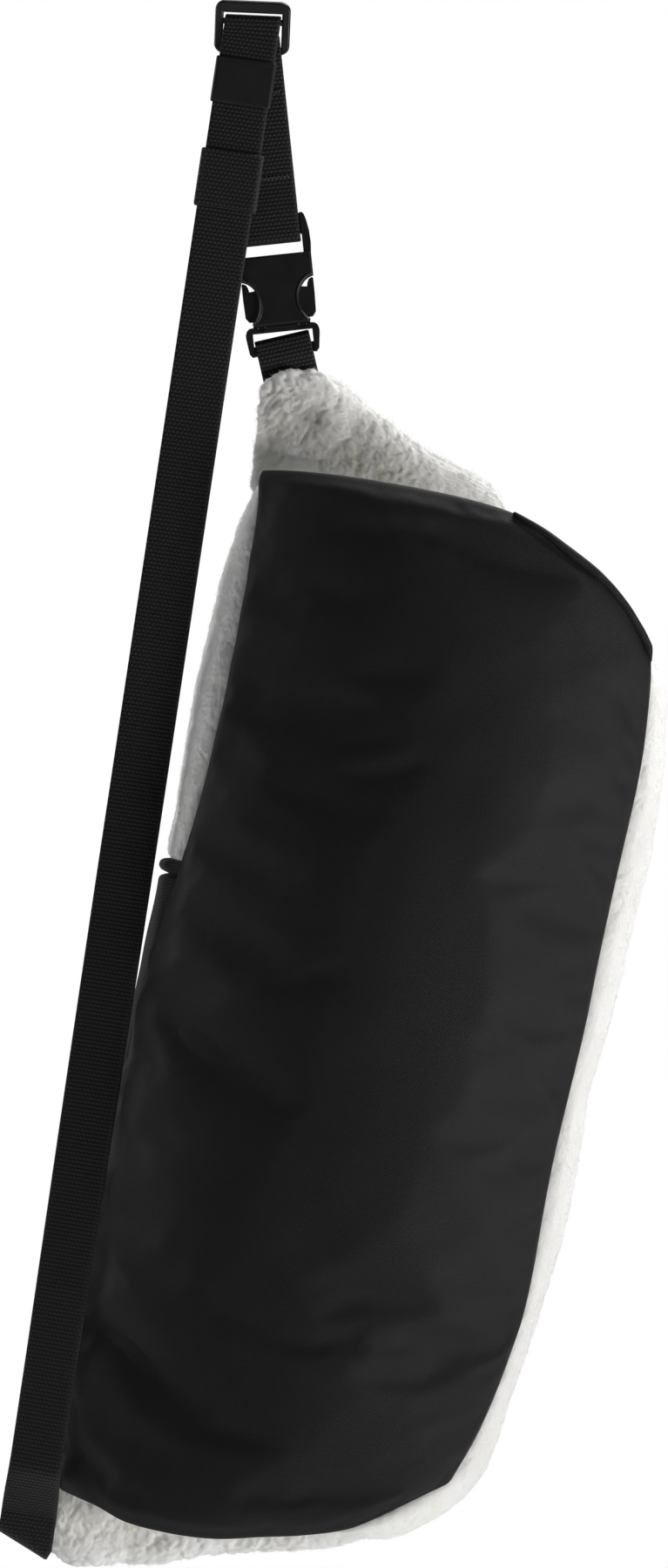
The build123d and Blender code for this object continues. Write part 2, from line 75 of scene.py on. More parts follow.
STRAP_O = np.array([0.1, 0.0, 16.0])
STRAP_LEAN = 8.53
STRAP_X, STRAP_UP = axes(STRAP_LEAN)
STRAP_RUN = [0.0, -345.0, -415.0, -520.0, -600.0, -655.0, -676.0]
STRAP_DEPTH = [-2.3, -2.3, -7.0, -11.5, -15.5, -16.0, 2.2]
STRAP_TWIST = [0.0, 0.0, 8.0, 16.0, 22.0, 22.0, 0.0]
HALF_WEB, WEB_HALF_THICK = 12.5, 0.8
RIB, KNUCKLE = 1.8, 1.9  # the webbing's pitch along and across

BUCKLE_O = np.array([13.1, 10.6, -119.3])
BUCKLE_LEAN = -6.0
BUCKLE_X, BUCKLE_UP = axes(BUCKLE_LEAN)


def across(u):
    """Distance round the tube, from its front line, of a point u across the muff."""
    return RADIUS * np.arcsin(np.clip((np.asarray(u, float) - SHIFT) / RADIUS, -1, 1))


def wrap(s, w, inset, side=1):
    """Point of the tube at s round it and w up it, `inset` inside its surface. Side -1 is the back."""
    a = s / RADIUS
    ahead = np.cos(a) * side
    depth = np.where(ahead > 0, np.polyval(FRONT_FIT, w), np.polyval(BACK_FIT, w)) - inset
    u = SHIFT + (RADIUS - inset) * np.sin(a)
    return MUFF_C + u[..., None] * MUFF_U + w[..., None] * MUFF_W + (depth * ahead)[..., None] * FRONT


# ---- numbers: noise, curves and grids ----


def hashed(cell, seed):
    """Repeatable value from 0 to 1 for each whole-number cell."""
    n = cell[..., 0] * 15731 + cell[..., 1] * 789221 + cell[..., 2] * 1376312589 + seed * 7919
    n = (n ^ (n >> 13)) & 0x7FFFFFFF
    n = (n * (n * n * 15731 + 789221) + 1376312589) & 0x7FFFFFFF
    return n / 0x7FFFFFFF


def unit(v):
    """Vectors scaled to length 1."""
    return v / np.linalg.norm(v, axis=-1)[..., None]


def run_of(p):
    """Distance along a line of points, from its first."""
    return np.concatenate([[0], np.cumsum(np.linalg.norm(np.diff(p, axis=0), axis=1))])


def along(w, points):
    """Value at w of a table of (w, value) pairs."""
    return np.interp(w, *zip(*points, strict=True))


def from_ends(w, lo, hi, reach):
    """0 at lo and hi, rising to 1 at `reach` from them."""
    return np.clip(np.minimum(w - lo, hi - w) / reach, 0, 1)


def fall_off(rise):
    """Quarter-round drop: 0 where `rise` is 1, and 1 where it is 0."""
    return 1 - np.sqrt(1 - (1 - rise) ** 2)


def smooth_step(x):
    x = np.clip(x, 0, 1)
    return x * x * (3 - 2 * x)


def noise(p, size, seed=0):
    """Smooth noise from -1 to 1 with features of `size` mm."""
    q = np.asarray(p, float) / size
    base = np.floor(q).astype(np.int64)
    f = q - base
    f = f * f * f * (f * (f * 6 - 15) + 10)
    total = 0.0
    for corner in itertools.product((0, 1), repeat=3):
        x, y, z = (f[..., k] if up else 1 - f[..., k] for k, up in enumerate(corner))
        total = total + x * y * z * hashed(base + np.array(corner), seed)
    return total * 2 - 1


def lumps(p, size, seed=0):
    """Rounded clumps about `size` mm across: 1 at a clump's middle, 0 in the furrows."""
    q = np.asarray(p, float) / size
    base = np.floor(q).astype(np.int64)
    nearest = np.full(q.shape[:-1], 9.0)
    for step in itertools.product((-1, 0, 1), repeat=3):
        cell = base + np.array(step)
        centre = cell + np.stack([hashed(cell, seed + 11 * n) for n in (1, 2, 3)], -1)
        nearest = np.minimum(nearest, ((q - centre) ** 2).sum(-1))
    return np.clip(1 - nearest, 0, 1)


def curve(points, count, smooth=True):
    """`count` points evenly spaced along a curve through the given ones."""
    p = np.asarray(points, float)
    if smooth and len(p) > 2:
        ends = np.vstack([2 * p[0] - p[1], p, 2 * p[-1] - p[-2]])
        t = np.linspace(0, 1, 24, endpoint=False)[:, None]
        spans = []
        for a, b, c, d in zip(ends[:-3], ends[1:-2], ends[2:-1], ends[3:], strict=True):
            spans.append(0.5 * (2 * b + (c - a) * t + (2 * a - 5 * b + 4 * c - d) * t**2
                                + (3 * b - a - 3 * c + d) * t**3))
        p = np.vstack(spans + [p[-1:]])
    run = run_of(p)
    at = np.linspace(0, run[-1], count)
    return np.stack([np.interp(at, run, p[:, k]) for k in range(p.shape[1])], -1)


def coons(bottom, right, top, left, n, m):
    """Grid of n by m points filling four boundary curves, each given left to right or bottom to top."""
    b, t = curve(bottom, n), curve(top, n)
    lt, rt = curve(left, m), curve(right, m)
    x, y = np.linspace(0, 1, n)[:, None, None], np.linspace(0, 1, m)[None, :, None]
    flat = (1 - y) * b[:, None] + y * t[:, None] + (1 - x) * lt[None] + x * rt[None]
    corners = (1 - x) * (1 - y) * b[0] + x * (1 - y) * b[-1] + (1 - x) * y * t[0] + x * y * t[-1]
    return flat - corners


def with_third(grid, value=0.0):
    """Two-number grid points with a third number."""
    return np.concatenate([grid, np.full((*grid.shape[:2], 1), value)], -1)


def border(n, m):
    """The outside points of an n by m grid in order, as index pairs."""
    ring = [(i, 0) for i in range(n)] + [(n - 1, j) for j in range(1, m)]
    return ring + [(i, m - 1) for i in range(n - 2, -1, -1)] + [(0, j) for j in range(m - 2, 0, -1)]


def edge_distance(grid):
    """Distance of each grid point from the grid's outside, in the grid's own units."""
    outside = np.array([grid[i, j] for i, j in border(*grid.shape[:2])])
    rows = [np.sqrt(((row[:, None] - outside[None]) ** 2).sum(-1)).min(1) for row in grid]
    return np.array(rows)


def groove(grid, a, b, depth, width):
    """A soft furrow from a to b, deepest in its middle."""
    a, b = np.array(a, float), np.array(b, float)
    t = np.clip(((grid - a) @ (b - a)) / ((b - a) @ (b - a)), 0, 1)
    off = np.linalg.norm(grid - (a + t[..., None] * (b - a)), axis=-1)
    ends = np.sin(np.pi * np.clip(t * 0.86 + 0.07, 0, 1)) ** 0.7
    return depth * ends * np.exp(-((off / width) ** 2))


# ---- meshes ----


def new_object(name, data):
    obj = bpy.data.objects.new(name, data)
    bpy.context.scene.collection.objects.link(obj)
    return obj


def make_mesh(name, verts, faces, body, cloth):
    """A mesh object in metres that rides on a body. `cloth` is its flat pattern, in mm."""
    mesh = bpy.data.meshes.new(name)
    mesh.from_pydata((np.asarray(verts) * MM).tolist(), [], [tuple(map(int, f)) for f in faces])
    mesh.update()
    mesh.shade_smooth()
    layer = mesh.attributes.new("cloth", "FLOAT_VECTOR", "POINT")
    layer.data.foreach_set("vector", np.asarray(cloth, np.float32).ravel())
    obj = new_object(name, mesh)
    if body:
        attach(obj, body)
    return obj


def grid_faces(n, m, start=0, flip=False, close_n=False):
    """Quads of a grid stored row by row; close_n joins its last row to its first."""
    faces = []
    for i in range(n if close_n else n - 1):
        i2 = (i + 1) % n
        for j in range(m - 1):
            f = (start + i * m + j, start + i2 * m + j, start + i2 * m + j + 1, start + i * m + j + 1)
            faces.append(f[::-1] if flip else f)
    return faces


def tube_faces(n, m, start=0):
    """Quads round a closed grid, and a cap on each end."""
    first = [start + i * m for i in range(n)]
    return grid_faces(n, m, start, close_n=True) + [first, [i + m - 1 for i in first][::-1]]


def edge_faces(n, m):
    """Quads joining the outsides of two grids, the second stored after the first."""
    ring = [i * m + j for i, j in border(n, m)]
    return [(a, b, b + n * m, a + n * m) for a, b in zip(ring, ring[1:] + ring[:1], strict=True)]


def pad_mesh(name, outer, inner, bulge, body, cloth):
    """A closed pad: two grids with the same layout, joined by a rounded rim."""
    n, m = outer.shape[:2]
    ring = border(n, m)
    idx = np.array([i * m + j for i, j in ring])
    o, q = outer.reshape(-1, 3), inner.reshape(-1, 3)
    count = len(o)
    middle = (o[idx] + q[idx]) / 2
    inward = np.array([outer[min(max(i, 2), n - 3), min(max(j, 2), m - 3)] - outer[i, j] for i, j in ring])
    inward /= np.linalg.norm(inward, axis=1)[:, None] + 1e-9
    middle = middle - inward * bulge
    verts = np.vstack([o, q, middle])
    faces = grid_faces(n, m) + grid_faces(n, m, count, flip=True)
    for a in range(len(ring)):
        b = (a + 1) % len(ring)
        mid_a, mid_b = 2 * count + a, 2 * count + b
        faces.append((idx[b], idx[a], mid_a, mid_b))
        faces.append((mid_b, mid_a, count + idx[a], count + idx[b]))
    flat = cloth.reshape(-1, 3)
    return make_mesh(name, verts, faces, body, np.vstack([flat, flat, flat[idx]]))


def read(mesh, key):
    """Each point's "co" or "normal"."""
    out = np.empty(len(mesh.vertices) * 3)
    mesh.vertices.foreach_get(key, out)
    return out.reshape(-1, 3)


def points_of(obj):
    """The mesh's points in mm."""
    return read(obj.data, "co") / MM


def set_points(obj, co):
    obj.data.vertices.foreach_set("co", (co * MM).ravel())
    obj.data.update()


def evaluated(obj):
    """A new mesh with the object's modifiers applied."""
    graph = bpy.context.evaluated_depsgraph_get()
    return bpy.data.meshes.new_from_object(obj.evaluated_get(graph), depsgraph=graph)


def subdivide(obj):
    """One level of subdivision applied to the mesh, its cloth pattern kept."""
    mod = obj.modifiers.new("subdiv", "SUBSURF")
    mod.levels = mod.render_levels = 1
    mesh = evaluated(obj)
    old = obj.data
    obj.modifiers.clear()
    obj.data = mesh
    bpy.data.meshes.remove(old)
    mesh.shade_smooth()


CLOTH = {"quality": 6, "mass": 0.25, "tension_stiffness": 22, "compression_stiffness": 22,
         "shear_stiffness": 8, "bending_stiffness": 1.2, "vertex_group_mass": "held",
         "use_pressure": True, "shrink_min": -0.012}
FRAMES = 22  # the simulation's length


def simulate(obj, n, m, pressure, cap):
    """The outer face of an n by m pad, held at its seams, swells and wrinkles, by `cap` mm at most."""
    rest = points_of(obj)
    held = np.ones(len(rest), bool)
    held[:n * m].reshape(n, m)[2:-2, 2:-2] = False
    group = obj.vertex_groups.new(name="held")
    group.add([int(i) for i in np.nonzero(held)[0]], 1.0, "REPLACE")
    settings = obj.modifiers.new("cloth", "CLOTH").settings
    for key, value in CLOTH.items():
        setattr(settings, key, value)
    settings.uniform_pressure_force = pressure
    settings.effector_weights.gravity = 0
    for f in range(1, FRAMES + 1):
        bpy.context.scene.frame_set(f)
    moved = evaluated(obj)
    step = read(moved, "co") / MM - rest
    bpy.data.meshes.remove(moved)
    obj.modifiers.clear()
    obj.vertex_groups.clear()
    bpy.context.scene.frame_set(1)
    size = np.linalg.norm(step, axis=1)
    step *= (np.minimum(size, cap) / np.maximum(size, 1e-6))[:, None]
    set_points(obj, rest + step)


def behind_strap(p, gap=0.5, steep=0.9):
    """Points pushed back so that they lie behind the long strap where it passes in front."""
    q = p - STRAP_O
    x, y = q @ STRAP_X, q @ STRAP_UP
    depth = np.interp(y, STRAP_RUN[::-1], STRAP_DEPTH[::-1])
    twist = np.radians(np.interp(y, STRAP_RUN[::-1], STRAP_TWIST[::-1]))
    limit = depth - x * np.sin(twist) + WEB_HALF_THICK + gap
    limit = limit - steep * np.maximum(np.abs(x) - HALF_WEB - 0.3, 0)
    near = (np.abs(x) < HALF_WEB + 14) & (y < -100) & (y > -676)
    out = p.copy()
    out[near, 1] = np.maximum(out[near, 1], limit[near])
    return out


def attribute(obj, name, values):
    layer = obj.data.attributes.new(name, "FLOAT", "POINT")
    layer.data.foreach_set("value", np.asarray(values, np.float32))


# ---- materials ----


class Shader:
    """Short way to build a node material: nodes are made by type, inputs by name or value."""

    def __init__(self, name):
        self.mat = bpy.data.materials.new(name)
        self.mat.use_nodes = True
        self.tree = self.mat.node_tree
        self.tree.nodes.clear()
        self.out = self.tree.nodes.new("ShaderNodeOutputMaterial")
        self.bsdf = self.tree.nodes.new("ShaderNodeBsdfPrincipled")
        self.tree.links.new(self.bsdf.outputs[0], self.out.inputs[0])

    def node(self, kind, inputs=None, out=0, **props):
        n = self.tree.nodes.new("ShaderNode" + kind)
        for k, v in props.items():
            setattr(n, k, v)
        for k, v in (inputs or {}).items():
            self.put(n.inputs[k], v)
        return n.outputs[out]

    def put(self, socket, value):
        if isinstance(value, bpy.types.NodeSocket):
            self.tree.links.new(value, socket)
        else:
            socket.default_value = value

    def math(self, op, a, b=0.0, c=0.0):
        return self.node("Math", {0: a, 1: b, 2: c}, operation=op)

    def mul(self, a, b):
        return self.math("MULTIPLY", a, b)

    def add(self, a, b):
        return self.math("ADD", a, b)

    def mix(self, f, a, b):
        return self.node("Mix", {0: f, 6: a, 7: b}, out=2, data_type="RGBA")

    def span(self, value, lo, hi, to_lo=0.0, to_hi=1.0):
        return self.node("MapRange", {0: value, 1: lo, 2: hi, 3: to_lo, 4: to_hi})

    def noise(self, vector, scale, detail=2.0, rough=0.5, out=0):
        return self.node("TexNoise", {"Vector": vector, "Scale": scale, "Detail": detail,
                                      "Roughness": rough}, out=out)

    def cloth(self):
        """The piece's flat pattern in mm, and its x and y."""
        v = self.node("Attribute", out=1, attribute_name="cloth")
        split = self.tree.nodes.new("ShaderNodeSeparateXYZ")
        self.tree.links.new(v, split.inputs[0])
        return v, split.outputs[0], split.outputs[1]

    def wave(self, x, pitch, phase=0.0):
        """Sine of x with that pitch in mm, from -1 to 1."""
        return self.math("SINE", self.math("MULTIPLY_ADD", x, 2 * math.pi / pitch, phase))

    def finish(self, bump=None, strength=0.5, distance=0.0002, **inputs):
        for k, v in inputs.items():
            self.put(self.bsdf.inputs[k.replace("_", " ")], v)
        if bump is not None:
            self.put(self.bsdf.inputs["Normal"], self.node(
                "Bump", {"Height": bump, "Strength": strength, "Distance": distance}))
        return self.mat


def woven(name, dark, light, warm, pitch=1.2, rough=0.62):
    """Plain-woven black cloth: raised thread crossings, slubs and a faint change of tone."""
    m = Shader(name)
    v, x, y = m.cloth()
    drift = m.mul(m.math("SUBTRACT", m.noise(v, 0.25, 2), 0.5), 1.1)
    warp = m.wave(m.add(x, drift), pitch)
    weft = m.wave(m.add(y, drift), pitch)
    cross = m.mul(warp, weft)
    over = m.span(cross, -1, 1)
    slub = m.noise(v, 1.9, 3, 0.7)
    broad = m.noise(v, 0.02, 3, 0.5)
    height = m.add(over, m.mul(slub, 0.9))
    fleck = m.span(m.mul(over, m.span(slub, 0.35, 0.75)), 0.05, 0.9)
    tone = m.mix(fleck, (*dark, 1), (*light, 1))
    tone = m.mix(m.span(broad, 0.35, 0.7, 0, 0.6), tone, m.mix(fleck, (*dark, 1), (*warm, 1)))
    return m.finish(height, 0.55, 0.00022, Base_Color=tone,
                    Roughness=m.span(slub, 0.2, 0.8, rough + 0.08, rough - 0.08),
                    Specular_IOR_Level=0.24, Sheen_Weight=0.05, Sheen_Roughness=0.45)


def shearling():
    """Pile: white curls, greyer in the furrows by painted shade, darker in marked patches by painted shade
    and dirt, and straw-coloured where worn.
    """
    m = Shader("shearling")
    v = m.node("TexCoord", out=3)
    curl_shading, shade_and_dirt, gold = (m.node("Attribute", out=2, attribute_name=k) for k in ("curl_shading", "shade_and_dirt", "gold"))
    fine = m.noise(v, 1500, 4, 0.7)
    patch = m.noise(v, 45, 3, 0.6)
    small = m.noise(v, 230, 3, 0.6)
    white = m.mix(m.span(patch, 0.4, 0.65), (0.90, 0.90, 0.89, 1), (0.865, 0.86, 0.825, 1))
    furrow_shade_tone = m.mix(m.span(small, 0.35, 0.65), (0.72, 0.715, 0.69, 1), (0.66, 0.64, 0.57, 1))
    # painted shade: the furrows between the curls are greyer than their crests
    tone = m.mix(m.span(curl_shading, 0.1, 0.55), furrow_shade_tone, white)
    tone = m.mix(m.mul(gold, m.span(small, 0.35, 0.65, 0.15, 1)), tone,
                 (0.42, 0.36, 0.22, 1))
    # painted shade and dirt: the marked patches turn dark, most of all in the furrows
    dirt_and_furrow_shade = m.mul(shade_and_dirt, m.span(m.add(curl_shading, small), 0.5, 1.35, 1, 0.62))
    tone = m.mix(dirt_and_furrow_shade, tone, (0.115, 0.105, 0.095, 1))
    tone = m.mix(m.span(fine, 0.3, 0.75, 0.14, 0.0), tone, (0.5, 0.49, 0.46, 1))
    return m.finish(fine, 0.5, 0.0004, Base_Color=tone, Roughness=0.95, Specular_IOR_Level=0.12,
                    Sheen_Weight=0.25, Sheen_Roughness=0.6, Subsurface_Weight=0.55,
                    Subsurface_Radius=(0.0032, 0.0031, 0.0029), Subsurface_Scale=1.0)


def webbing(name, dark, light):
    """Ribbed webbing: rows of knuckles, each row half a knuckle on from the last, and a painted highlight
    along both selvages.
    """
    m = Shader(name)
    v, t, run = m.cloth()
    wobble = m.mul(m.math("SUBTRACT", m.noise(v, 0.5, 2), 0.5), 0.35)
    row = m.math("ABSOLUTE", m.wave(m.add(run, wobble), 2 * RIB))
    turn = m.mul(m.node("Math", {0: m.math("DIVIDE", run, RIB)}, operation="FLOOR"), math.pi)
    around = m.mul(m.add(t, wobble), 2 * math.pi / KNUCKLE)
    ball = m.span(m.math("SINE", m.add(around, turn)), -1, 1)
    selvage_highlight = m.span(m.math("ABSOLUTE", t), 11.2, 12.0)
    high = m.mul(row, m.span(ball, 0, 1, 0.35, 1))
    grain = m.noise(v, 3.0, 2)
    tone = m.mix(m.span(m.add(high, m.mul(grain, 0.35)), 0.15, 1.15),
                 (*dark, 1), (*light, 1))
    # painted highlight: the selvages are coloured lighter
    tone = m.mix(m.mul(selvage_highlight, 0.6), tone, (*[c * 1.25 for c in light], 1))
    return m.finish(high, 0.7, 0.00035, Base_Color=tone,
                    Roughness=m.span(high, 0, 1, 0.78, 0.56), Specular_IOR_Level=0.28,
                    Sheen_Weight=0.05)


def knit(name, dark, light):
    """Narrow elastic ribs across a band, with a fine stitch along each."""
    m = Shader(name)
    v, x, y = m.cloth()
    rib = m.span(m.wave(y, 1.35), -1, 1)
    stitch = m.span(m.wave(x, 0.9), -1, 1)
    high = m.add(rib, m.mul(stitch, 0.3))
    tone = m.mix(m.span(high, 0.1, 1.2), (*dark, 1), (*light, 1))
    tone = m.mix(m.span(m.noise(v, 0.06), 0.4, 0.7, 0, 0.35), tone, (0.013, 0.0135, 0.0155, 1))
    return m.finish(high, 0.7, 0.0003, Base_Color=tone, Roughness=0.75, Specular_IOR_Level=0.3,
                    Sheen_Weight=0.06)


def plastic(name, tone, rough, edge):
    """Moulded plastic: fine spark-eroded grain, handling marks, edges worn smoother, and a painted
    highlight along the edges.
    """
    m = Shader(name)
    p = m.node("TexCoord", out=3)
    fine = m.noise(p, 5200, 3, 0.6)
    smear = m.noise(p, 130, 4, 0.6)
    soft = m.node("Bevel", {"Radius": edge * MM}, samples=6)
    sharp = m.node("NewGeometry", out=1)
    edge_highlight_facing = m.node("VectorMath", {0: soft, 1: sharp}, out=1, operation="DOT_PRODUCT")
    rim = m.span(edge_highlight_facing, 0.90, 0.995, 1, 0)
    colour = m.mix(m.span(smear, 0.35, 0.7, 0, 0.6), (*tone, 1), (*[c * 1.7 for c in tone], 1))
    # painted highlight: along the rounded edges the colour is made three times lighter
    colour = m.mix(m.mul(rim, 0.6), colour, (*[c * 3.0 for c in tone], 1))
    gloss = m.math("SUBTRACT", m.span(smear, 0.3, 0.7, rough, rough + 0.12),
                   m.mul(rim, 0.1))
    bump = m.node("Bump", {"Height": fine, "Strength": 0.12, "Distance": 0.00005, "Normal": soft})
    m.put(m.bsdf.inputs["Normal"], bump)
    return m.finish(Base_Color=colour, Roughness=gloss, Specular_IOR_Level=0.4)


def thread():
    m = Shader("thread")
    _, t, run = m.cloth()
    twist = m.span(m.wave(m.add(t, run), 0.5), -1, 1)
    tone = m.mix(twist, (0.012, 0.012, 0.013, 1), (0.05, 0.05, 0.052, 1))
    return m.finish(twist, 0.5, 0.0001, Base_Color=tone, Roughness=0.55, Sheen_Weight=0.1)


def rubber(name):
    """Soft moulded sleeve: matte, faintly mottled, a little paler where it is handled."""
    m = Shader(name)
    v = m.cloth()[0]
    fine = m.noise(v, 2.6, 3, 0.6)
    broad = m.noise(v, 0.12, 3, 0.6)
    tone = m.mix(m.span(broad, 0.35, 0.7), (0.0048, 0.005, 0.0054, 1), (0.0105, 0.0108, 0.0114, 1))
    return m.finish(fine, 0.25, 0.0001, Base_Color=tone, Roughness=m.span(broad, 0.3, 0.7, 0.62, 0.5),
                    Specular_IOR_Level=0.3)


SHELL = woven("shell_weave", (0.0036, 0.0036, 0.0041), (0.0235, 0.0225, 0.023), (0.027, 0.0238, 0.0228))
PILE = shearling()
WEB = webbing("webbing", (0.0022, 0.0022, 0.0024), (0.0165, 0.0165, 0.017))
RUBBER = rubber("keeper_rubber")
BAND = knit("ribbed_band", (0.0025, 0.0025, 0.003), (0.015, 0.0155, 0.0175))
BUCKLE_MAT = plastic("buckle_plastic", (0.0036, 0.0036, 0.0039), 0.36, 0.5)
SLIDER_MAT = plastic("slider_plastic", (0.004, 0.004, 0.0043), 0.32, 0.5)
THREAD = thread()


def paint(obj, mat):
    obj.data.materials.clear()
    obj.data.materials.append(mat)
    return obj


# ---- outlines of the pile (up, across) and of the back panel (across, up) ----

RIGHT_OUTLINE = [(-262, 0), (-252, 36), (-246, 50), (-240, 62), (-226, 80.5), (-214, 90), (-201, 95.8),
                 (-180, 99.2), (-142, 103.2), (-96, 108.0), (-59, 106.8), (-31, 105.4), (0, 108.6),
                 (45, 109.8), (82, 110.4), (124, 108), (148, 104.5), (159, 100.6), (170, 92)]
BACK_LEFT = [(-100, -262), (-103, -225), (-104.4, -150), (-104.4, -20), (-100.5, 30), (-99.5, 60),
             (-101.0, 110), (-102.0, 150), (-100.5, 195), (-97, 225), (-95.0, 250)]
BACK_TOP = [(-95.0, 250), (-92, 256), (-80, 262), (-56, 251.5), (-34, 241.8), (-12.6, 236),
            (5.3, 231), (13, 226.5), (19, 219.5), (42, 207.5), (66, 193), (82, 178), (90, 168)]
BACK_RIGHT = [(89, -203), (99, -180), (106, -140), (109.8, -95), (110.2, 0), (110.2, 80),
              (109.4, 125), (104, 150), (90, 168)]
BACK_BOTTOM = [(-100, -262), (-84, -280), (-62, -277.5), (-40, -272.6), (-23.5, -267),
               (3.7, -259.6), (32, -252.3), (45.8, -248.4), (58.8, -242), (71, -233), (81, -220),
               (89, -203)]
BACK_SIDES = (BACK_BOTTOM, BACK_RIGHT, BACK_TOP, BACK_LEFT)
BACK_OUTLINE = [(w, u) for u, w in BACK_BOTTOM[5:] + BACK_RIGHT[1:]]
NARROW_START = 58.0


def muff_uw(p):
    """Across and up the muff, of points in the part's frame."""
    q = p - MUFF_C
    return q @ MUFF_U, q @ MUFF_W


def narrowed(p, margin):
    """Points right of NARROW_START drawn in so that they stay `margin` inside the pile's outline."""
    u, w = muff_uw(p)
    edge = along(w, RIGHT_OUTLINE) - margin
    base = np.minimum(NARROW_START, edge - 30)
    own = along(w, BACK_OUTLINE)
    pull = base + (u - base) * (edge - base) / (own - base)
    active = (u > base) & (w > -250) & (w < 175)
    return p + np.where(active, np.minimum(pull - u, 0), 0)[..., None] * MUFF_U


# ---- the muff's padded cloth panels ----

# the front panel's sides (across, up)
FRONT_LEFT = [(-89.5, -248.7), (-95.5, -205), (-99.4, -150), (-99.7, -95), (-99.3, -30),
              (-95.6, 20), (-91.9, 62), (-90.6, 115), (-92.2, 180), (-95.8, 214.5)]
FRONT_TOP = [(-95.8, 214.5), (-60, 219), (-20, 220.4), (8, 219.6), (25, 216.8), (37.3, 211.8),
             (47.8, 206.4), (60.2, 199.8), (71, 192.6), (79.2, 185.8)]
FRONT_RIGHT = [(80.5, -209.5), (88.8, -184.5), (95.2, -150), (97.8, -120), (96.3, -60), (97.6, 0),
               (97.4, 60), (98.0, 115), (95.6, 148), (92.2, 168.6), (87.3, 177.6), (79.2, 185.8)]
FRONT_BOTTOM = [(-89.5, -248.7), (-72.6, -251.5), (-58, -255.5), (-37, -256), (-16.5, -254),
                (3, -249), (22.8, -244), (42, -237), (60, -224.5), (72, -215.5), (80.5, -209.5)]
FRONT_SIDES = (FRONT_BOTTOM, FRONT_RIGHT, FRONT_TOP, FRONT_LEFT)

# folds in the panels: from, to, depth, width
FRONT_FOLDS = [
    ((-92, -166), (-46, -200), 3.4, 8.5), ((-86, -150), (-52, -170), -1.2, 9),
    ((-78, -196), (-44, -215), -1.5, 9), ((-97, -226), (-66, -244), 3.0, 7.5),
    ((-92, 24), (-46, -6), 1.5, 10), ((-95, 52), (-58, 38), 1.0, 8),
    ((-96, -26), (-50, -52), 1.2, 12), ((-90, 205), (-30, 196), 1.4, 11),
    ((-40, 150), (30, 186), -0.9, 20), ((-60, 120), (-20, 60), 0.9, 22),
    ((-85, -90), (-45, -60), 1.0, 12), ((-20, -60), (10, -150), 1.0, 24),
    ((60, -150), (84, -196), 0.9, 9), ((84, 60), (94, 20), 0.7, 9), ((70, -60), (92, -90), 0.6, 10),
]
BACK_FOLDS = [
    ((-120, 236), (-60, 190), 1.8, 10), ((-120, -240), (-50, -196), 1.8, 10),
    ((-140, 60), (-80, 40), 1.2, 12), ((120, -40), (70, -70), 1.2, 12),
    ((20, 120), (80, 170), 1.0, 16), ((-20, -120), (60, -200), 1.0, 18),
]
RIM = 3.4  # depth of the front panel's seam below the tube's surface
PANEL_THICK = 5.1


def rim(u):
    """Distance round the tube of a seam that shows at u."""
    return RADIUS * np.arcsin(np.clip((np.asarray(u, float) - SHIFT) / (RADIUS - RIM), -1, 1))


def panel_grid(sides, way_round, n, m, shorter=(0, 1), narrower=(0, 1)):
    """Grid round and up the tube inside four sides, which are given across and up it.

    shorter and narrower say how far the ends and the sides are drawn in, from what distance out.
    """
    parts = []
    for points in sides:
        p = np.array(points, float)
        for k, (much, reach) in ((1, shorter), (0, narrower)):
            p[:, k] -= much * np.sign(p[:, k]) * np.clip(np.abs(p[:, k]) / reach, 0, 1)
        parts.append(np.stack([way_round(p[:, 0]), p[:, 1]], -1))
    return coons(*parts, n, m)


def front_panel():
    """The padded cloth in front, sunk to its seams and wrinkled along the left one."""
    n, m = 66, 150
    grid = panel_grid(FRONT_SIDES, rim, n, m)
    edge = edge_distance(grid)
    s, w = grid[..., 0], grid[..., 1]
    soft = np.clip(1 - edge / 16, 0, 1)
    outer = RIM * soft**2.4
    # puckers along the gathered left seam, and the folds that the strap's pull leaves
    left = np.exp(-np.maximum(s - across(-96), 0) / 16)
    outer += 0.8 * left * np.sin(w / 5.1 + 1.8 * np.sin(w / 23.0)) * np.clip(edge / 5, 0, 1)
    span = np.linspace(-104, 110, 90)
    flat = np.stack([np.interp(s, across(span), span), w], -1)
    for fold in FRONT_FOLDS:
        outer += groove(flat, *fold)
    bumps = 0.8 * noise(with_third(flat), 46, 3) + 0.35 * noise(with_third(flat), 19, 4)
    outer += bumps * np.clip(edge / 14, 0, 1)
    inner = PANEL_THICK + 0.8 * soft**2
    cloth = with_third(grid * np.array([0.86, 1.0]))
    obj = pad_mesh("muff_front_panel", wrap(s, w, outer), wrap(s, w, inner), 0.6, "muff", cloth)
    simulate(obj, n, m, pressure=1.6, cap=4.0)
    set_points(obj, behind_strap(points_of(obj)))
    subdivide(obj)
    paint(obj, SHELL)
    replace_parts(obj, "front_shell", "front_wadding")


def back_panel():
    """The padded cloth behind, kept inside the pile's outline."""
    n, m = 74, 150
    grid = panel_grid(BACK_SIDES, across, n, m, shorter=(1.2, 200))
    edge = edge_distance(grid)
    s, w = grid[..., 0], grid[..., 1]
    soft = np.clip(1 - edge / 15, 0, 1)
    bumps = 0.9 * noise(with_third(grid), 52, 8) + 0.4 * noise(with_third(grid), 21, 9)
    outer = 3.6 * soft**2.2 + bumps * (1 - soft)
    for fold in BACK_FOLDS:
        outer += groove(grid, *fold)
    inner = PANEL_THICK + 0.9 * soft**2
    cloth = with_third(grid * np.array([0.78, 1.0]), 1.0)
    faces = [narrowed(wrap(s, w, inset, -1), 3.2) for inset in (outer, inner)]
    obj = pad_mesh("muff_back_panel", *faces, 0.6, "muff", cloth)
    flip_faces(obj)
    simulate(obj, n, m, pressure=1.2, cap=3.0)
    subdivide(obj)
    paint(obj, SHELL)
    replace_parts(obj, "back_shell", "back_wadding")


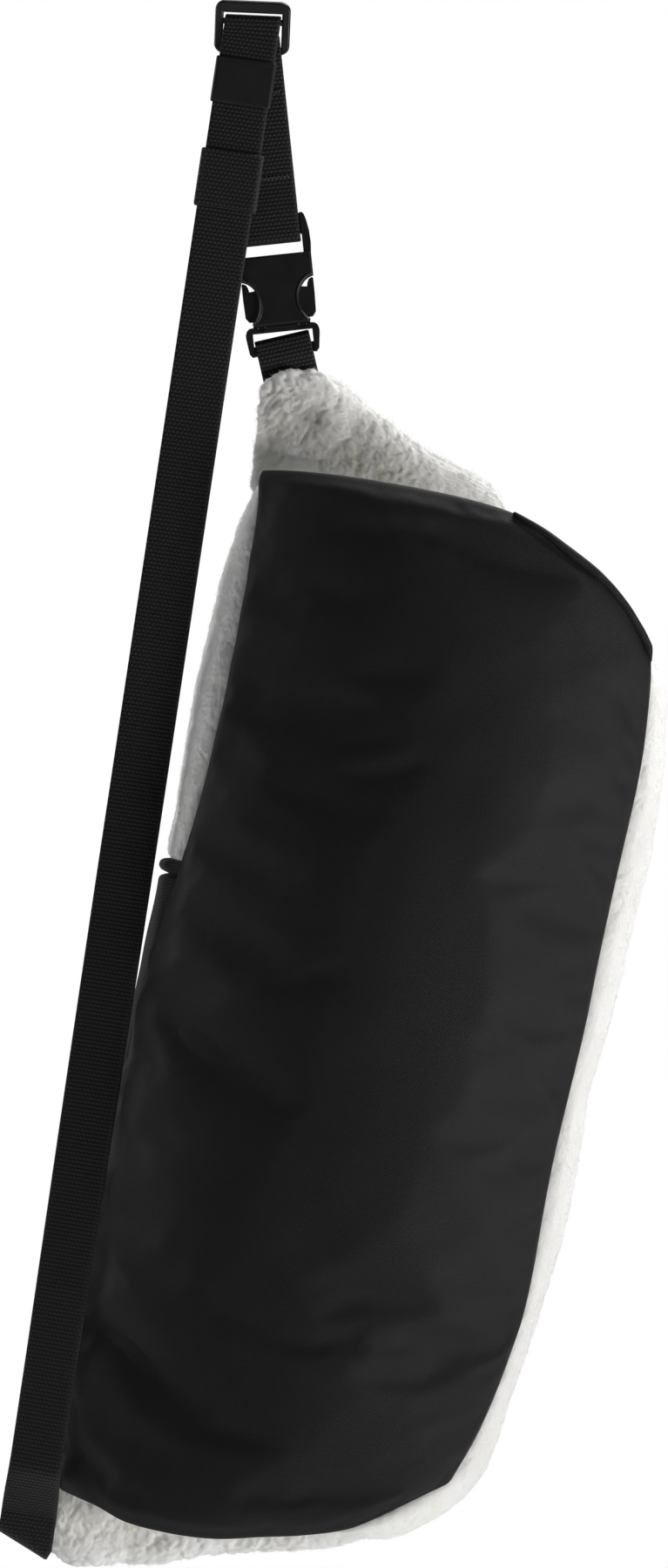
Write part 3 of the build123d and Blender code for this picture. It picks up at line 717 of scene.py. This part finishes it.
def flip_faces(obj):
    """Faces turned to look outwards."""
    bm = bmesh.new()
    bm.from_mesh(obj.data)
    bmesh.ops.recalc_face_normals(bm, faces=bm.faces)
    bm.to_mesh(obj.data)
    bm.free()
    obj.data.shade_smooth()


# ---- shearling ----


PILE_INSIDE = 13.6  # depth of the pile's hand side below the tube's surface


def fluff(obj, amount, seed, calm=0.0, shade_and_dirt=0.0, gold=0.0):
    """Clumps and curls pushed out of a pile surface; their height is kept for its colour, which paints
    shade into the furrows.
    """
    p, n = points_of(obj), read(obj.data, "normal")
    bent = p + np.stack([noise(p, 7, seed + k) for k in (1, 2, 3)], -1) * 3.0
    curly = p + np.stack([noise(p, 3.2, seed + k) for k in (11, 12, 13)], -1) * 1.5
    big, mid, small = lumps(bent, 9.0, seed + 4), lumps(bent, 4.6, seed + 5), lumps(curly, 2.3, seed + 8)
    fine, wide = noise(p, 1.3, seed + 6), noise(p, 30, seed + 7)
    lively = 1 - calm
    height = 0.42 * big + 0.36 * mid * lively + 0.24 * small * lively + 0.07 * fine + 0.35 * wide
    set_points(obj, p + n * ((height - 0.5) * amount * (0.6 + 0.4 * lively))[:, None])
    # crests and calm pile stay white, while lower points get more of the painted furrow shade
    curl = np.clip(0.25 * big + 0.42 * mid + 0.45 * small + 0.25 * (1 - lively), 0, 1)
    for name, values in (("curl_shading", curl), ("shade_and_dirt", shade_and_dirt), ("gold", gold)):
        attribute(obj, name, np.broadcast_to(values, len(p)))


def values_of(obj, name):
    out = np.empty(len(obj.data.vertices), np.float32)
    obj.data.attributes[name].data.foreach_get("value", out)
    return out


def fuzz(name, source, count, length, seed, keep=None):
    """Fine curved fibres standing out of a pile surface, so that its outline is soft."""
    rng = np.random.default_rng(seed)
    p, n = points_of(source), read(source.data, "normal")
    pick = np.arange(len(p)) if keep is None else np.nonzero(keep(p))[0]
    at = rng.choice(pick, count)
    base, up = p[at], n[at]
    side = rng.normal(size=(count, 3))
    side -= (side * up).sum(1)[:, None] * up
    side = unit(side)
    lean = rng.uniform(0.5, 2.6, count)[:, None]
    long = (length * rng.uniform(0.4, 1.25, count))[:, None]
    base = base + side * rng.normal(0, 0.6, count)[:, None] - up * 0.35
    way = unit(up + side * lean)
    wide = unit(np.cross(way, rng.normal(size=(count, 3)))) * 0.055
    curl = np.cross(side, up) * rng.normal(0, 0.6, count)[:, None]
    middle = base + way * long * 0.55
    tip = middle + (way * 0.4 + side * 0.3 - up * 0.25 + curl) * long * 0.5
    verts = np.stack([base - wide, base + wide, middle + wide * 0.8, middle - wide * 0.8, tip], 1)
    k = np.arange(count)[:, None] * 5
    quads = (k + np.array([0, 1, 2, 3])).tolist()
    tris = (k + np.array([3, 2, 4])).tolist()
    obj = make_mesh(name, verts.reshape(-1, 3), quads + tris, "muff", np.repeat(base, 5, axis=0))
    # the fibres stand clear of the furrows, so they get less of the painted furrow shade
    attribute(obj, "curl_shading", np.repeat(np.clip(values_of(source, "curl_shading")[at] + 0.25, 0, 1), 5))
    for key in ("shade_and_dirt", "gold"):
        attribute(obj, key, np.repeat(values_of(source, key)[at], 5))
    paint(obj, PILE)


def pile_piece(obj, node):
    """Pile material on a padded piece that stands for a CAD node."""
    paint(obj, PILE)
    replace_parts(obj, node)
    return obj


# marks on the back pile: across, up, half width, half height, strength
# the first list paints shade and dirt over the flap and round the tab's sewn end; the second gives
# straw-coloured stains
SHADE_AND_DIRT_MARKS = [(-77, 243, 8, 7, 0.72), (-71, 243, 19, 16, 0.34), (-52, 231, 26, 11, 0.32),
        (-26, 222, 24, 7, 0.25), (-90, 234, 15, 20, 0.12), (-7, 232, 3, 2, 0.5)]
GOLD = [(-60, 228, 13, 9, 0.55), (-38, 226, 12, 8, 0.45), (-92, 236, 8, 14, 0.3),
        (-60, -262, 24, 9, 0.35), (0, -250, 30, 7, 0.2)]
BACK_PILE_PARTS = {"flap": (300, 412, 1), "middle": (66, 304, 3), "bottom": (0, 70, 1)}


def blots(u, v, marks):
    """Strength, at most 1, of soft round marks."""
    each = [much * np.exp(-(((u - cu) / wide) ** 2 + ((v - cv) / tall) ** 2))
            for cu, cv, wide, tall, much in marks]
    return np.clip(sum(each), 0, 1)


def back_pile():
    """The back panel's pile, in three lengths: the flap and the bottom, which show, are finer."""
    n, m = 150, 412
    grid = panel_grid(BACK_SIDES, across, n, m, shorter=(-0.6, 200))
    edge = edge_distance(grid[::2, ::2])
    edge = np.repeat(np.repeat(edge, 2, 0), 2, 1)[:n, :m]
    s, w = grid[..., 0], grid[..., 1]
    round_off = np.clip(1 - edge / 9, 0, 1)
    inner = PILE_INSIDE - 4.4 * round_off**2
    u = SHIFT + RADIUS * np.sin(s / RADIUS)
    # thinner where the tab web is sewn on
    inner = inner - 4.5 * np.exp(-(((u + 74) / 15) ** 2 + ((w - 240) / 12) ** 2))
    outer = 6.3 + 0.6 * round_off
    near, far = (narrowed(wrap(s, w, inset, -1), 1.5) for inset in (inner, outer))
    cloth = with_third(grid, 5.0)
    made = []
    for label, (low, high, step) in BACK_PILE_PARTS.items():
        part = (slice(None, None, step), slice(low, high, step))
        obj = pad_mesh(f"muff_back_pile_{label}", near[part], far[part], 1.2, "muff", cloth[part])
        flip_faces(obj)
        subdivide(obj)
        p = points_of(obj)
        u, v = muff_uw(p)
        # the left edge rolls outwards, and the pile covers the sewn ends of both webs
        roll = smooth_step((-62 - u) / 32)
        shift = np.interp(v, [200, 210, 222, 240, 262], [0, 7, 9.5, 14, 17])
        shift += np.interp(v, [-285, -215], [9, 0])
        p = p - (shift * roll * (p[:, 1] < 30))[:, None] * MUFF_U
        over_tab = np.exp(-(((u + 82) / 20) ** 4)) * np.clip((v - 226) / 14, 0, 1)
        p = p + (7.5 * over_tab * (p[:, 1] < 20))[:, None] * FRONT
        over_end = np.exp(-(((u + 84) / 26) ** 4)) * np.clip((-244 - v) / 12, 0, 1)
        p = p + (4.4 * over_end * (p[:, 1] < 16))[:, None] * FRONT
        set_points(obj, p)
        u, v = muff_uw(p)
        calm = smooth_step((u + 34) / 26) * 0.85 * (v > 150)
        calm = np.maximum(calm, 0.6 * smooth_step((u - 10) / 30) * (v < -150))
        # colour marks: painted shade and dirt on the flap and round the tab's sewn end, and straw stains
        fluff(obj, 3.9, 20, calm, blots(u, v, SHADE_AND_DIRT_MARKS), blots(u, v, GOLD))
        made.append(pile_piece(obj, "back_lining"))
    return made


def front_pile():
    """The front panel's pile, inside the tube."""
    grid = panel_grid(FRONT_SIDES, rim, 96, 200, shorter=(2.6, 160), narrower=(1.0, 80))
    edge = edge_distance(grid)
    s, w = grid[..., 0], grid[..., 1]
    round_off = np.clip(1 - edge / 8, 0, 1)
    near = wrap(s, w, PILE_INSIDE - 3.0 * round_off**2)
    far = wrap(s, w, 7.4 + 0.4 * round_off)
    obj = pad_mesh("muff_front_pile", near, far, 1.0, "muff", with_third(grid, 40.0))
    flip_faces(obj)
    subdivide(obj)
    fluff(obj, 3.0, 40)
    set_points(obj, behind_strap(points_of(obj)))
    pile_piece(obj, "front_lining")


def side_strip(w_range, seam_line, n, m, far):
    """Grid (round, up) from a seam of the front panel to `far` round the tube, and t from 0 to 1 on it."""
    w_line = np.linspace(*w_range, m)
    seam = along(w_line, seam_line)
    t = np.linspace(0, 1, n)[:, None]
    s = rim(seam)[None] * (1 - t) + np.sign(seam[0] - SHIFT) * far * t
    return s, np.repeat(w_line[None], n, 0), t, seam


def side_roll(name, seam_line, outline, w_range, seed, node):
    """A strip of pile from the front panel's seam round the side, out to an outline.

    seam_line and outline give points (up, across) of the muff.
    """
    rows = int((w_range[1] - w_range[0]) / 1.9)
    s, w, t, seam = side_strip(w_range, seam_line, 28, rows, SIDE_S + 7)
    edge = along(w[0], outline)
    way = np.sign(seam[0] - SHIFT)
    tuck = np.clip(1 - t * 4.5, 0, 1)
    outer = 4.5 * tuck**2 + 4 * fall_off(from_ends(w, *w_range, 7))
    inner = np.full_like(s, 13.0)
    widest = SHIFT + way * RADIUS
    stretch = (edge - seam) / (widest - seam)

    def shaped(inset):
        p = wrap(s, w, inset)
        u = (p - MUFF_C) @ MUFF_U
        new = seam + (u - seam) * np.where((u - seam) * way > 0, stretch, 1)
        return p + (new - u)[..., None] * MUFF_U

    cloth = np.stack([s, w, np.full_like(s, 80.0 + seed)], -1)
    obj = pad_mesh(name, shaped(outer), shaped(inner), 1.2, "muff", cloth)
    flip_faces(obj)
    subdivide(obj)
    subdivide(obj)
    fluff(obj, 2.6, seed, calm=0.35)
    return pile_piece(obj, node)


front_panel()
back_panel()
pile_back = back_pile()
front_pile()
right_roll = side_roll(
    "muff_right_roll",
    [(-240, 36), (-237, 42), (-224.5, 60), (-215, 72), (-206, 81), (-184, 88.5), (-150, 94.5),
     (-120, 96.8), (0, 96.6), (115, 96.8), (150, 94.5), (170, 89)],
    RIGHT_OUTLINE,
    (-240, 169), 60, "right_side_fleece")
left_roll = side_roll(
    "muff_left_roll",
    [(38, -93), (62, -90.6), (115, -89.4), (180, -90.8), (214, -94)],
    [(36, -101.5), (75, -103), (115, -104.4), (165, -103.4), (190, -100.6), (208, -96)],
    (36, 209), 70, "left_side_fleece")
set_points(left_roll, behind_strap(points_of(left_roll), steep=4.0))


def shows(p):
    """Which points of the back pile are in view, above or below the front panel."""
    w = muff_uw(p)[1]
    return ((w > 190) | (w < -225)) & (p[:, 1] < 24)


fuzz("fuzz_flap", pile_back[0], 45000, 1.9, 5, shows)
fuzz("fuzz_bottom", pile_back[2], 32000, 1.8, 8, shows)
fuzz("fuzz_right_roll", right_roll, 32000, 1.9, 6)
fuzz("fuzz_left_roll", left_roll, 14000, 1.9, 7)


# ---- side band and piping ----


BAND_SEAM = [(-248, -87.5), (-205, -93.5), (-150, -97.4), (-95, -97.7), (-30, -97.3), (20, -93.6),
             (62, -89.9)]


def side_cloth(name, w_range, rows, inset, thick, lift, node):
    """Cloth strip from the front panel's left seam round to the side, with rolled ends."""
    s, w, t, _ = side_strip(w_range, BAND_SEAM, 20, rows, SIDE_S + 9)
    outer = inset + 0.9 * thick * fall_off(from_ends(w, *w_range, lift))
    outer = outer + 0.35 * noise(np.stack([s, w, s * 0 + 9], -1), 17, 71)
    outer = outer + np.clip(1 - t * 6, 0, 1) ** 2 * 2.2
    inner = np.full_like(s, inset + thick)
    cloth = np.stack([s, w, np.full_like(s, 120.0)], -1)
    obj = pad_mesh(name, wrap(s, w, outer), wrap(s, w, inner), 0.3, "muff", cloth)
    flip_faces(obj)
    set_points(obj, behind_strap(points_of(obj)))
    subdivide(obj)
    paint(obj, BAND)
    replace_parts(obj, node)


side_cloth("muff_side_band", (-240, 30.2), 168, 1.8, 5.0, 3, "side_band")
side_cloth("muff_side_hem", (30.0, 37.0), 12, 0.9, 6.0, 3.2, "side_band_hem")


def piping_roll():
    """The corded seam along the top right arch, fattest in its middle."""
    line = curve([(19, 218.6), (33.5, 213.2), (46.5, 206.9), (60.8, 199.9), (73.8, 190.8), (84.3, 180.7),
                  (90.2, 173.6), (93.2, 167)], 170)
    s, w = across(line[:, 0]), line[:, 1]
    way = unit(np.gradient(np.stack([s, w], -1), axis=0))
    out = np.stack([-way[:, 1], way[:, 0]], -1)
    run = np.linspace(0, 1, 170)
    size = 0.28 + 0.72 * np.clip(np.minimum(run / 0.34, (1 - run) / 0.07), 0, 1) ** 0.7
    rows = []
    ring = np.linspace(0, 2 * math.pi, 22, endpoint=False)
    for k in ring:
        side, top = math.cos(k), math.sin(k)
        deep = 1.6 - 2.5 * top if top > 0 else 1.6 - 7.0 * top
        off = (2.25 * side * (1 if top > 0 else 0.8) - 0.1) * size
        pos = np.stack([s, w], -1) + out * off[:, None]
        inset = deep * (0.35 + 0.65 * size) + 1.7 * (1 - size) + 0.25 * noise(
            np.stack([s, w, s * 0], -1), 7, 91) * max(top, 0)
        rows.append(wrap(pos[:, 0], pos[:, 1], inset))
    grid = np.array(rows)
    n, m = grid.shape[:2]
    cloth = np.stack([np.repeat(ring[:, None] * 2.3, m, 1), np.repeat(run[None] * 90, n, 0),
                      np.full((n, m), 60.0)], -1)
    obj = make_mesh("muff_arch_piping", grid.reshape(-1, 3), tube_faces(n, m), "muff", cloth.reshape(-1, 3))
    flip_faces(obj)
    paint(obj, SHELL)
    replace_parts(obj, "corner_piping")


piping_roll()

# ---- webbing ----

COLUMNS = np.array([-12.5, -12.4, -12.1, -11.6, -10.9, -8, -4, 0, 4, 8, 10.9, 11.6, 12.1, 12.4, 12.5])
STEP = 0.36


def ribbed_web(name, middle, run, body, wobble):
    """Webbing round a middle surface given row by row; its ribs stand out of both faces."""
    rows, cols = middle.shape[:2]
    middle = middle + noise(middle, 34, 51)[..., None] * wobble * FRONT
    normal = unit(np.cross(np.gradient(middle, axis=1), np.gradient(middle, axis=0)))
    edge = np.clip((np.abs(COLUMNS) - 11.7) / 0.85, 0, 1)
    half = WEB_HALF_THICK * np.sqrt(1 - edge**2)[None]
    half = half * (0.80 + 0.20 * np.abs(np.sin(np.pi * run / RIB)))
    top, low = middle + normal * half[..., None], middle - normal * half[..., None]
    verts = np.vstack([top.reshape(-1, 3), low.reshape(-1, 3)])
    faces = grid_faces(rows, cols) + grid_faces(rows, cols, rows * cols, flip=True)
    faces += edge_faces(rows, cols)
    t = np.repeat(COLUMNS[None], rows, 0)
    cloth = np.stack([t, run, np.zeros_like(run)], -1).reshape(-1, 3)
    back = cloth + np.array([0.95, 0, 30.0])
    obj = make_mesh(name, verts, faces, body, np.vstack([cloth, back]))
    flip_faces(obj)
    return paint(obj, WEB)


def smoothed(values, width):
    """Running average over `width` samples, its ends kept."""
    kernel = np.hanning(width + 2)[1:-1]
    padded = np.concatenate([np.full(width, values[0]), values, np.full(width, values[-1])])
    return np.convolve(padded, kernel / kernel.sum(), "same")[width:-width]


BAR_TURN = 2.3  # radius of the web's middle round the slider's bar
SLANT = math.radians(23.5)  # of the fold under the bottom corner
FOLD_TURN, SEWN_DEPTH = 4.3, 10.8


def main_strap():
    """The long web: its tail, round the slider's bar, down the front, and folded to its sewn end."""
    turn = np.radians(np.linspace(-25, 180, 26))
    bar = [(BAR_TURN * math.sin(a), BAR_TURN * math.cos(a)) for a in turn]
    path = [(-98, -0.6), (-70, -0.6), (-40, -0.6), (-12, -0.6), (-7, -0.55), (-4.2, 0.45)] + bar
    path += [(-2, -BAR_TURN), (-5, -BAR_TURN), (-12, -BAR_TURN)]
    path = curve(path, 320)
    down = np.arange(-12 - STEP, -676, -STEP)
    depth = smoothed(np.interp(down, STRAP_RUN[::-1], STRAP_DEPTH[::-1]), 25)
    path = np.vstack([path, np.stack([down, depth], -1)])
    y, depth = path[:, 0], path[:, 1]
    run = run_of(path)
    lean = np.radians(np.interp(y, [-10, -2], [STRAP_LEAN, 2.5]))
    on_front = np.arange(len(y)) > 320
    twist = np.where(on_front, smoothed(np.interp(y, STRAP_RUN[::-1], STRAP_TWIST[::-1]), 61), 0)
    twist = np.radians(twist)
    centre = STRAP_O + y[:, None] * STRAP_UP - depth[:, None] * FRONT
    over = np.stack([np.cos(lean) * np.cos(twist), -np.sin(twist), -np.sin(lean) * np.cos(twist)], -1)
    middle = centre[:, None] + over[:, None] * COLUMNS[None, :, None]
    runs = np.repeat(run[:, None], len(COLUMNS), 1)
    # the fold, about a slanted line, and the end sewn to the back
    line = -685.5 - COLUMNS * math.tan(SLANT)
    base = STRAP_O + COLUMNS[:, None] * STRAP_X + line[:, None] * STRAP_UP
    start = middle[-1]
    f = np.linspace(0, 1, 27)[1:, None]
    to_line = start[None] * (1 - f[..., None]) + (base - 2.2 * FRONT)[None] * f[..., None]
    run_line = run[-1] + f * (y[-1] - line)[None]
    away = -axes(STRAP_LEAN + math.degrees(SLANT))[1]
    a = np.linspace(0, math.pi, 40)[1:, None, None]
    bend = base + away * FOLD_TURN * np.sin(a) - FRONT * (6.5 - FOLD_TURN * np.cos(a))
    run_bend = run_line[-1] + a[..., 0] * FOLD_TURN / math.cos(SLANT)
    sewn_way = STRAP_X * math.sin(2 * SLANT) + STRAP_UP * math.cos(2 * SLANT)
    d = np.linspace(0, 17, 48)[1:, None, None]
    sewn = base + sewn_way * d - FRONT * SEWN_DEPTH
    run_sewn = run_bend[-1] + d[..., 0]
    middle = np.concatenate([middle, to_line, bend, sewn])
    runs = np.concatenate([runs, run_line, run_bend, run_sewn])
    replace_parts(ribbed_web("strap_main_web", middle, runs, "muff", 0.2), "main_strap")


def loop_web(name, path, origin, lean, body):
    """Webbing along a side-view path of (depth, height) points in a leaning frame."""
    x_dir, up = axes(lean)
    path = np.asarray(path, float)
    length = run_of(path)[-1]
    line = curve(path, int(length / STEP))
    run = np.linspace(0, length, len(line))
    centre = origin + line[:, 1:] * up - line[:, :1] * FRONT
    middle = centre[:, None] + COLUMNS[None, :, None] * x_dir
    return ribbed_web(name, middle, np.repeat(run[:, None], len(COLUMNS), 1), body, 0)


EYE = 2.4  # radius of a web's middle round the buckle's and the slider's bars


def eye_arc(depth, height, way):
    """Points over (way 1) or under (way -1) an eye, from its front to its back."""
    return [(depth + EYE * math.cos(a), height + EYE * way * math.sin(a))
            for a in np.linspace(math.pi, 0, 12)]


def strand(height):
    """Depth of the doubled web, which leans back on its way up."""
    return -0.0757 * (height - 49.5)


def sewn_loops():
    """The short doubled web between slider and buckle, as two loops, and the tab's loop."""
    ply, cut = 0.85, 104.0
    upper = [(strand(cut) - ply, cut), (strand(108) - ply, 108.0), (-8.02, 119.0), (-8.02, 122.5)]
    upper += eye_arc(-5.62, 125.7, 1)
    upper += [(-3.22, 122.5), (-3.22, 119.0), (strand(108) + ply, 108.0), (strand(cut) + ply, cut)]
    top = loop_web("buckle_strap_upper", upper, BUCKLE_O, BUCKLE_LEAN, None)
    lower = [(strand(h) - ply, h) for h in (cut, 90, 75, 62)] + [(-EYE, 51.0), (-EYE, 44.0)]
    lower += eye_arc(0, 39.5, -1)
    lower += [(EYE, 44.0), (EYE, 51.0)] + [(strand(h) + ply, h) for h in (62, 75, 90, cut)]
    low = loop_web("buckle_strap_lower", lower, BUCKLE_O, BUCKLE_LEAN, None)

    def at(height):
        return tuple((BUCKLE_O + BUCKLE_UP * height) * MM)

    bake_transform(top)
    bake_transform(low)
    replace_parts(top, "buckle_strap")
    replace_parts(low, "buckle_strap")
    ends = [(-ply, -31.0), (-ply, -20.0), (-ply, -11.0), (-EYE, -4.0), (-EYE, 1.5)]
    tab = ends + eye_arc(0, 3.1, 1) + [(-x, y) for x, y in reversed(ends)]
    obj = loop_web("tab_web_loop", tab, np.array([14.24, 10.6, -130.1]), -13.0, "muff")
    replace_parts(obj, "tab_web")


main_strap()
sewn_loops()


def keeper(name, top, tall, skin, body, mat, ribs):
    """A sleeve round both plies of the strap, with rolled rims."""
    wide, ahead, behind = HALF_WEB + 0.15 + skin / 2, -3.25 - skin / 2, 0.35 + skin / 2
    corner, ring = 1.0, []
    for cx, cy, start in ((wide - corner, ahead + corner, -90), (wide - corner, behind - corner, 0),
                          (-wide + corner, behind - corner, 90), (-wide + corner, ahead + corner, 180)):
        for k in np.radians(start + np.linspace(0, 90, 7)):
            ring.append((cx + corner * math.cos(k), cy + corner * math.sin(k)))
    ring = curve(ring[14:] + ring[:15], 133, smooth=False)[:-1]
    way = unit(np.roll(ring, -1, 0) - np.roll(ring, 1, 0))
    out = np.stack([way[:, 1], -way[:, 0]], -1)
    y = np.linspace(0, tall, int(tall / STEP))
    half = skin / 2 * (1 - 0.75 * fall_off(from_ends(y, 0, tall, 1.1)))
    outer = half * (0.86 + 0.14 * np.abs(np.sin(np.pi * y / RIB))) if ribs else half
    # the pattern is centred on the front, and whole knuckles away from that on the back
    across_web = run_of(ring) - 18.6
    across_web = np.where(across_web > 14.4, across_web - 15 * KNUCKLE, across_web)

    def surface(offset):
        flat = ring[:, None] + out[:, None] * offset[None, :, None]
        up = (top - y)[None, :, None] * STRAP_UP
        return (STRAP_O + flat[..., :1] * STRAP_X - flat[..., 1:] * FRONT + up).reshape(-1, 3)

    verts = np.vstack([surface(outer), surface(-half)])
    n, m = len(ring), len(y)
    k = n * m
    faces = grid_faces(n, m, close_n=True) + grid_faces(n, m, k, flip=True, close_n=True)
    for i in range(n):
        a, b = i * m, (i + 1) % n * m
        faces.append((a, a + k, b + k, b))
        a, b = a + m - 1, b + m - 1
        faces.append((a, b, b + k, a + k))
    flat = np.stack([np.repeat(across_web[:, None], m, 1), np.repeat(y[None], n, 0),
                     np.full((n, m), 5.0)], -1).reshape(-1, 3)
    obj = make_mesh(name, verts, faces, body, np.vstack([flat, flat]))
    flip_faces(obj)
    return paint(obj, mat)


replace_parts(keeper("keeper_smooth_sleeve", -17.4, 20.5, 1.0, "smooth_keeper", RUBBER,
                   False), "smooth_keeper")
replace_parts(keeper("keeper_web_sleeve", -59.0, 26.0, 1.5, "web_keeper", WEB, True),
            "web_keeper")

# ---- stitches ----


# a stitch's sections: place along it, width, and height over the cloth
STITCH = [(0, 0.35, -0.9), (0.12, 0.85, -0.2), (0.35, 1, 0.25), (0.65, 1, 0.25), (0.88, 0.85, -0.2),
          (1, 0.35, -0.9)]


def stitches(name, lines, radius, body, node):
    """Thread stitches: one plump capsule for each pair of end points and a normal."""
    verts, faces, cloth = [], [], []
    for a, b, up in lines:
        way = unit(b - a)
        side = unit(np.cross(way, up))
        up = np.cross(side, way)
        faces += tube_faces(6, len(STITCH), len(verts))
        for k in np.linspace(0, 2 * math.pi, 7)[:-1]:
            for f, wide, rise in STITCH:
                off = side * math.cos(k) * wide + up * (math.sin(k) * wide * 0.8 + rise)
                verts.append(a + (b - a) * f + radius * off)
                cloth.append((k * radius, f * np.linalg.norm(b - a), 0))
    obj = make_mesh(name, verts, faces, body, cloth)
    flip_faces(obj)
    paint(obj, THREAD)
    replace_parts(obj, node)


def anchor_boxes():
    """A crossed box of stitches over each of the webs' sewn ends, on the back panel."""
    lines = []
    for (cu, cw), turn in (((-85, 246), -25), ((-88, -258), 35)):
        r = math.radians(turn)
        corners = [(-9.4, -5.9), (9.4, -5.9), (9.4, 5.9), (-9.4, 5.9)]
        runs = list(zip(corners, corners[1:] + corners[:1], strict=True))
        runs += [(corners[0], corners[2]), (corners[1], corners[3])]
        for a, b in runs:
            a, b = np.array(a), np.array(b)
            count = int(np.linalg.norm(b - a) / 2.6)
            for k in range(count):
                ends = []
                for f in ((k + 0.08) / count, (k + 0.92) / count):
                    x, y = a + (b - a) * f
                    u = cu + x * math.cos(r) - y * math.sin(r)
                    w = cw + x * math.sin(r) + y * math.cos(r)
                    ends.append(wrap(across(np.array([u])), np.array([w]), -0.35, -1)[0])
                lines.append((*ends, -FRONT))
    stitches("stitch_anchor_boxes", lines, 0.34, "muff", "anchor_stitches")


def bartack(name, height, body, node):
    """A zigzag across both faces of the doubled web."""
    lines = []
    for side in (-1, 1):
        depth = strand(height) + side * (1.65 + 0.42)
        for k in range(22):
            x0, x1 = -10 + k * 20 / 22, -10 + (k + 1) * 20 / 22
            y0, y1 = (0.7, -0.7) if k % 2 else (-0.7, 0.7)
            a = BUCKLE_O + BUCKLE_X * x0 + BUCKLE_UP * (height + y0) - FRONT * depth
            b = BUCKLE_O + BUCKLE_X * x1 + BUCKLE_UP * (height + y1) - FRONT * depth
            lines.append((a, b, -FRONT * side))
    stitches(name, lines, 0.3, body, node)


def tube(name, line, radius, body, mat):
    """A round moulded bead along a line, tapering into the surface at its ends."""
    way = unit(np.gradient(line, axis=0))
    side = unit(np.cross(way, FRONT))
    up = np.cross(side, way)
    count = np.arange(len(line))
    size = (radius * np.sqrt(np.clip(np.minimum(count, count[::-1]) / 5, 0.08, 1)))[:, None]
    grid = np.stack([line + (side * math.cos(k) + up * math.sin(k)) * size
                     for k in np.linspace(0, 2 * math.pi, 13)[:-1]])
    faces = tube_faces(*grid.shape[:2])
    obj = make_mesh(name, grid.reshape(-1, 3), faces, body, grid.reshape(-1, 3))
    flip_faces(obj)
    return paint(obj, mat)


def scallop_rims():
    """Raised beads round the housing's two thumb scallops, on both of its faces."""
    for side, label in ((-1, "left"), (1, "right")):
        for face, where in ((-1, "front"), (1, "back")):
            a = np.radians(np.linspace(104, 256, 60))
            x = side * (17.4 + 9.5 * np.cos(a))
            y = 10.5 + 11.4 * np.sin(a)
            keep = (y > 1.0) & (y < 21.5)
            line = BUCKLE_O + x[keep, None] * BUCKLE_X + y[keep, None] * BUCKLE_UP
            line = line - FRONT * face * 4.92
            tube(f"buckle_rim_{label}_{where}", line, 0.55, "housing", BUCKLE_MAT)


scallop_rims()
anchor_boxes()
bartack("stitch_upper_bartack", 104.0, "muff", "upper_bartack")
bartack("stitch_lower_bartack", 66.0, "housing", "lower_bartack")

# ---- camera, light, floor ----

VIEW_X, VIEW_Z, VIEW_HIGH, DISTANCE = 0.0365, -0.3253, 0.702, 4.0
camera = bpy.data.cameras.new("camera")
camera.sensor_width = 36
camera.lens = 36 * DISTANCE / VIEW_HIGH
camera.clip_end = 50
eye = new_object("camera", camera)
eye.location = (VIEW_X, -DISTANCE, VIEW_Z)
eye.rotation_euler = (math.pi / 2, 0, 0)
bpy.context.scene.camera = eye


LIGHT_AIM = np.array([0.04, 0, -0.35])


def light(name, place, size, power, tone):
    """A rectangular studio lamp, in metres and watts."""
    lamp = bpy.data.lights.new(name, "AREA")
    lamp.shape = "RECTANGLE"
    lamp.size, lamp.size_y = size
    lamp.energy = power
    lamp.color = tone
    obj = new_object(name, lamp)
    obj.location = place
    obj.rotation_euler = Vector(LIGHT_AIM - np.array(place)).to_track_quat("-Z", "Y").to_euler()


light("key", (2.0, -1.2, -1.3), (1.1, 1.3), 84, (1.0, 0.985, 0.975))
light("left_rim", (-1.85, 0.55, 0.2), (1.2, 1.6), 24, (0.97, 0.985, 1.0))
light("top_rim", (0.75, 0.6, 1.4), (1.6, 1.2), 52, (1, 1, 1))
light("under", (0.1, -1.1, -1.75), (1.0, 0.8), 14, (1, 1, 1))
light("front_fill", (-0.5, -2.6, 0.6), (1.6, 1.6), 2.2, (0.93, 0.96, 1.0))

world = bpy.data.worlds.new("studio")
world.use_nodes = True
backdrop = world.node_tree.nodes["Background"]
backdrop.inputs[0].default_value = (1.0, 1.0, 1.0, 1)
path = world.node_tree.nodes.new("ShaderNodeLightPath")
level = world.node_tree.nodes.new("ShaderNodeMapRange")
level.inputs[3].default_value, level.inputs[4].default_value = 0.05, 1.0
world.node_tree.links.new(path.outputs["Is Camera Ray"], level.inputs[0])
world.node_tree.links.new(level.outputs[0], backdrop.inputs[1])
bpy.context.scene.world = world
bpy.context.scene.view_settings.view_transform = "Standard"

floor_mesh = bpy.data.meshes.new("floor")
ring = [(1.5 * math.cos(a), 1.5 * math.sin(a), -1.0) for a in np.linspace(0, 2 * math.pi, 97)[:-1]]
floor_mesh.from_pydata(ring, [], [tuple(range(96))])
floor = new_object("floor", floor_mesh)
floor_look = Shader("floor")
floor_mesh.materials.append(floor_look.finish(Base_Color=(0.86, 0.86, 0.86, 1), Roughness=0.8))

for node, mat in (("female_housing", BUCKLE_MAT), ("male_base", BUCKLE_MAT), ("prong_left", BUCKLE_MAT),
                  ("prong_right", BUCKLE_MAT), ("slider", SLIDER_MAT)):
    NODES[node].data.materials.clear()
    NODES[node].data.materials.append(mat)
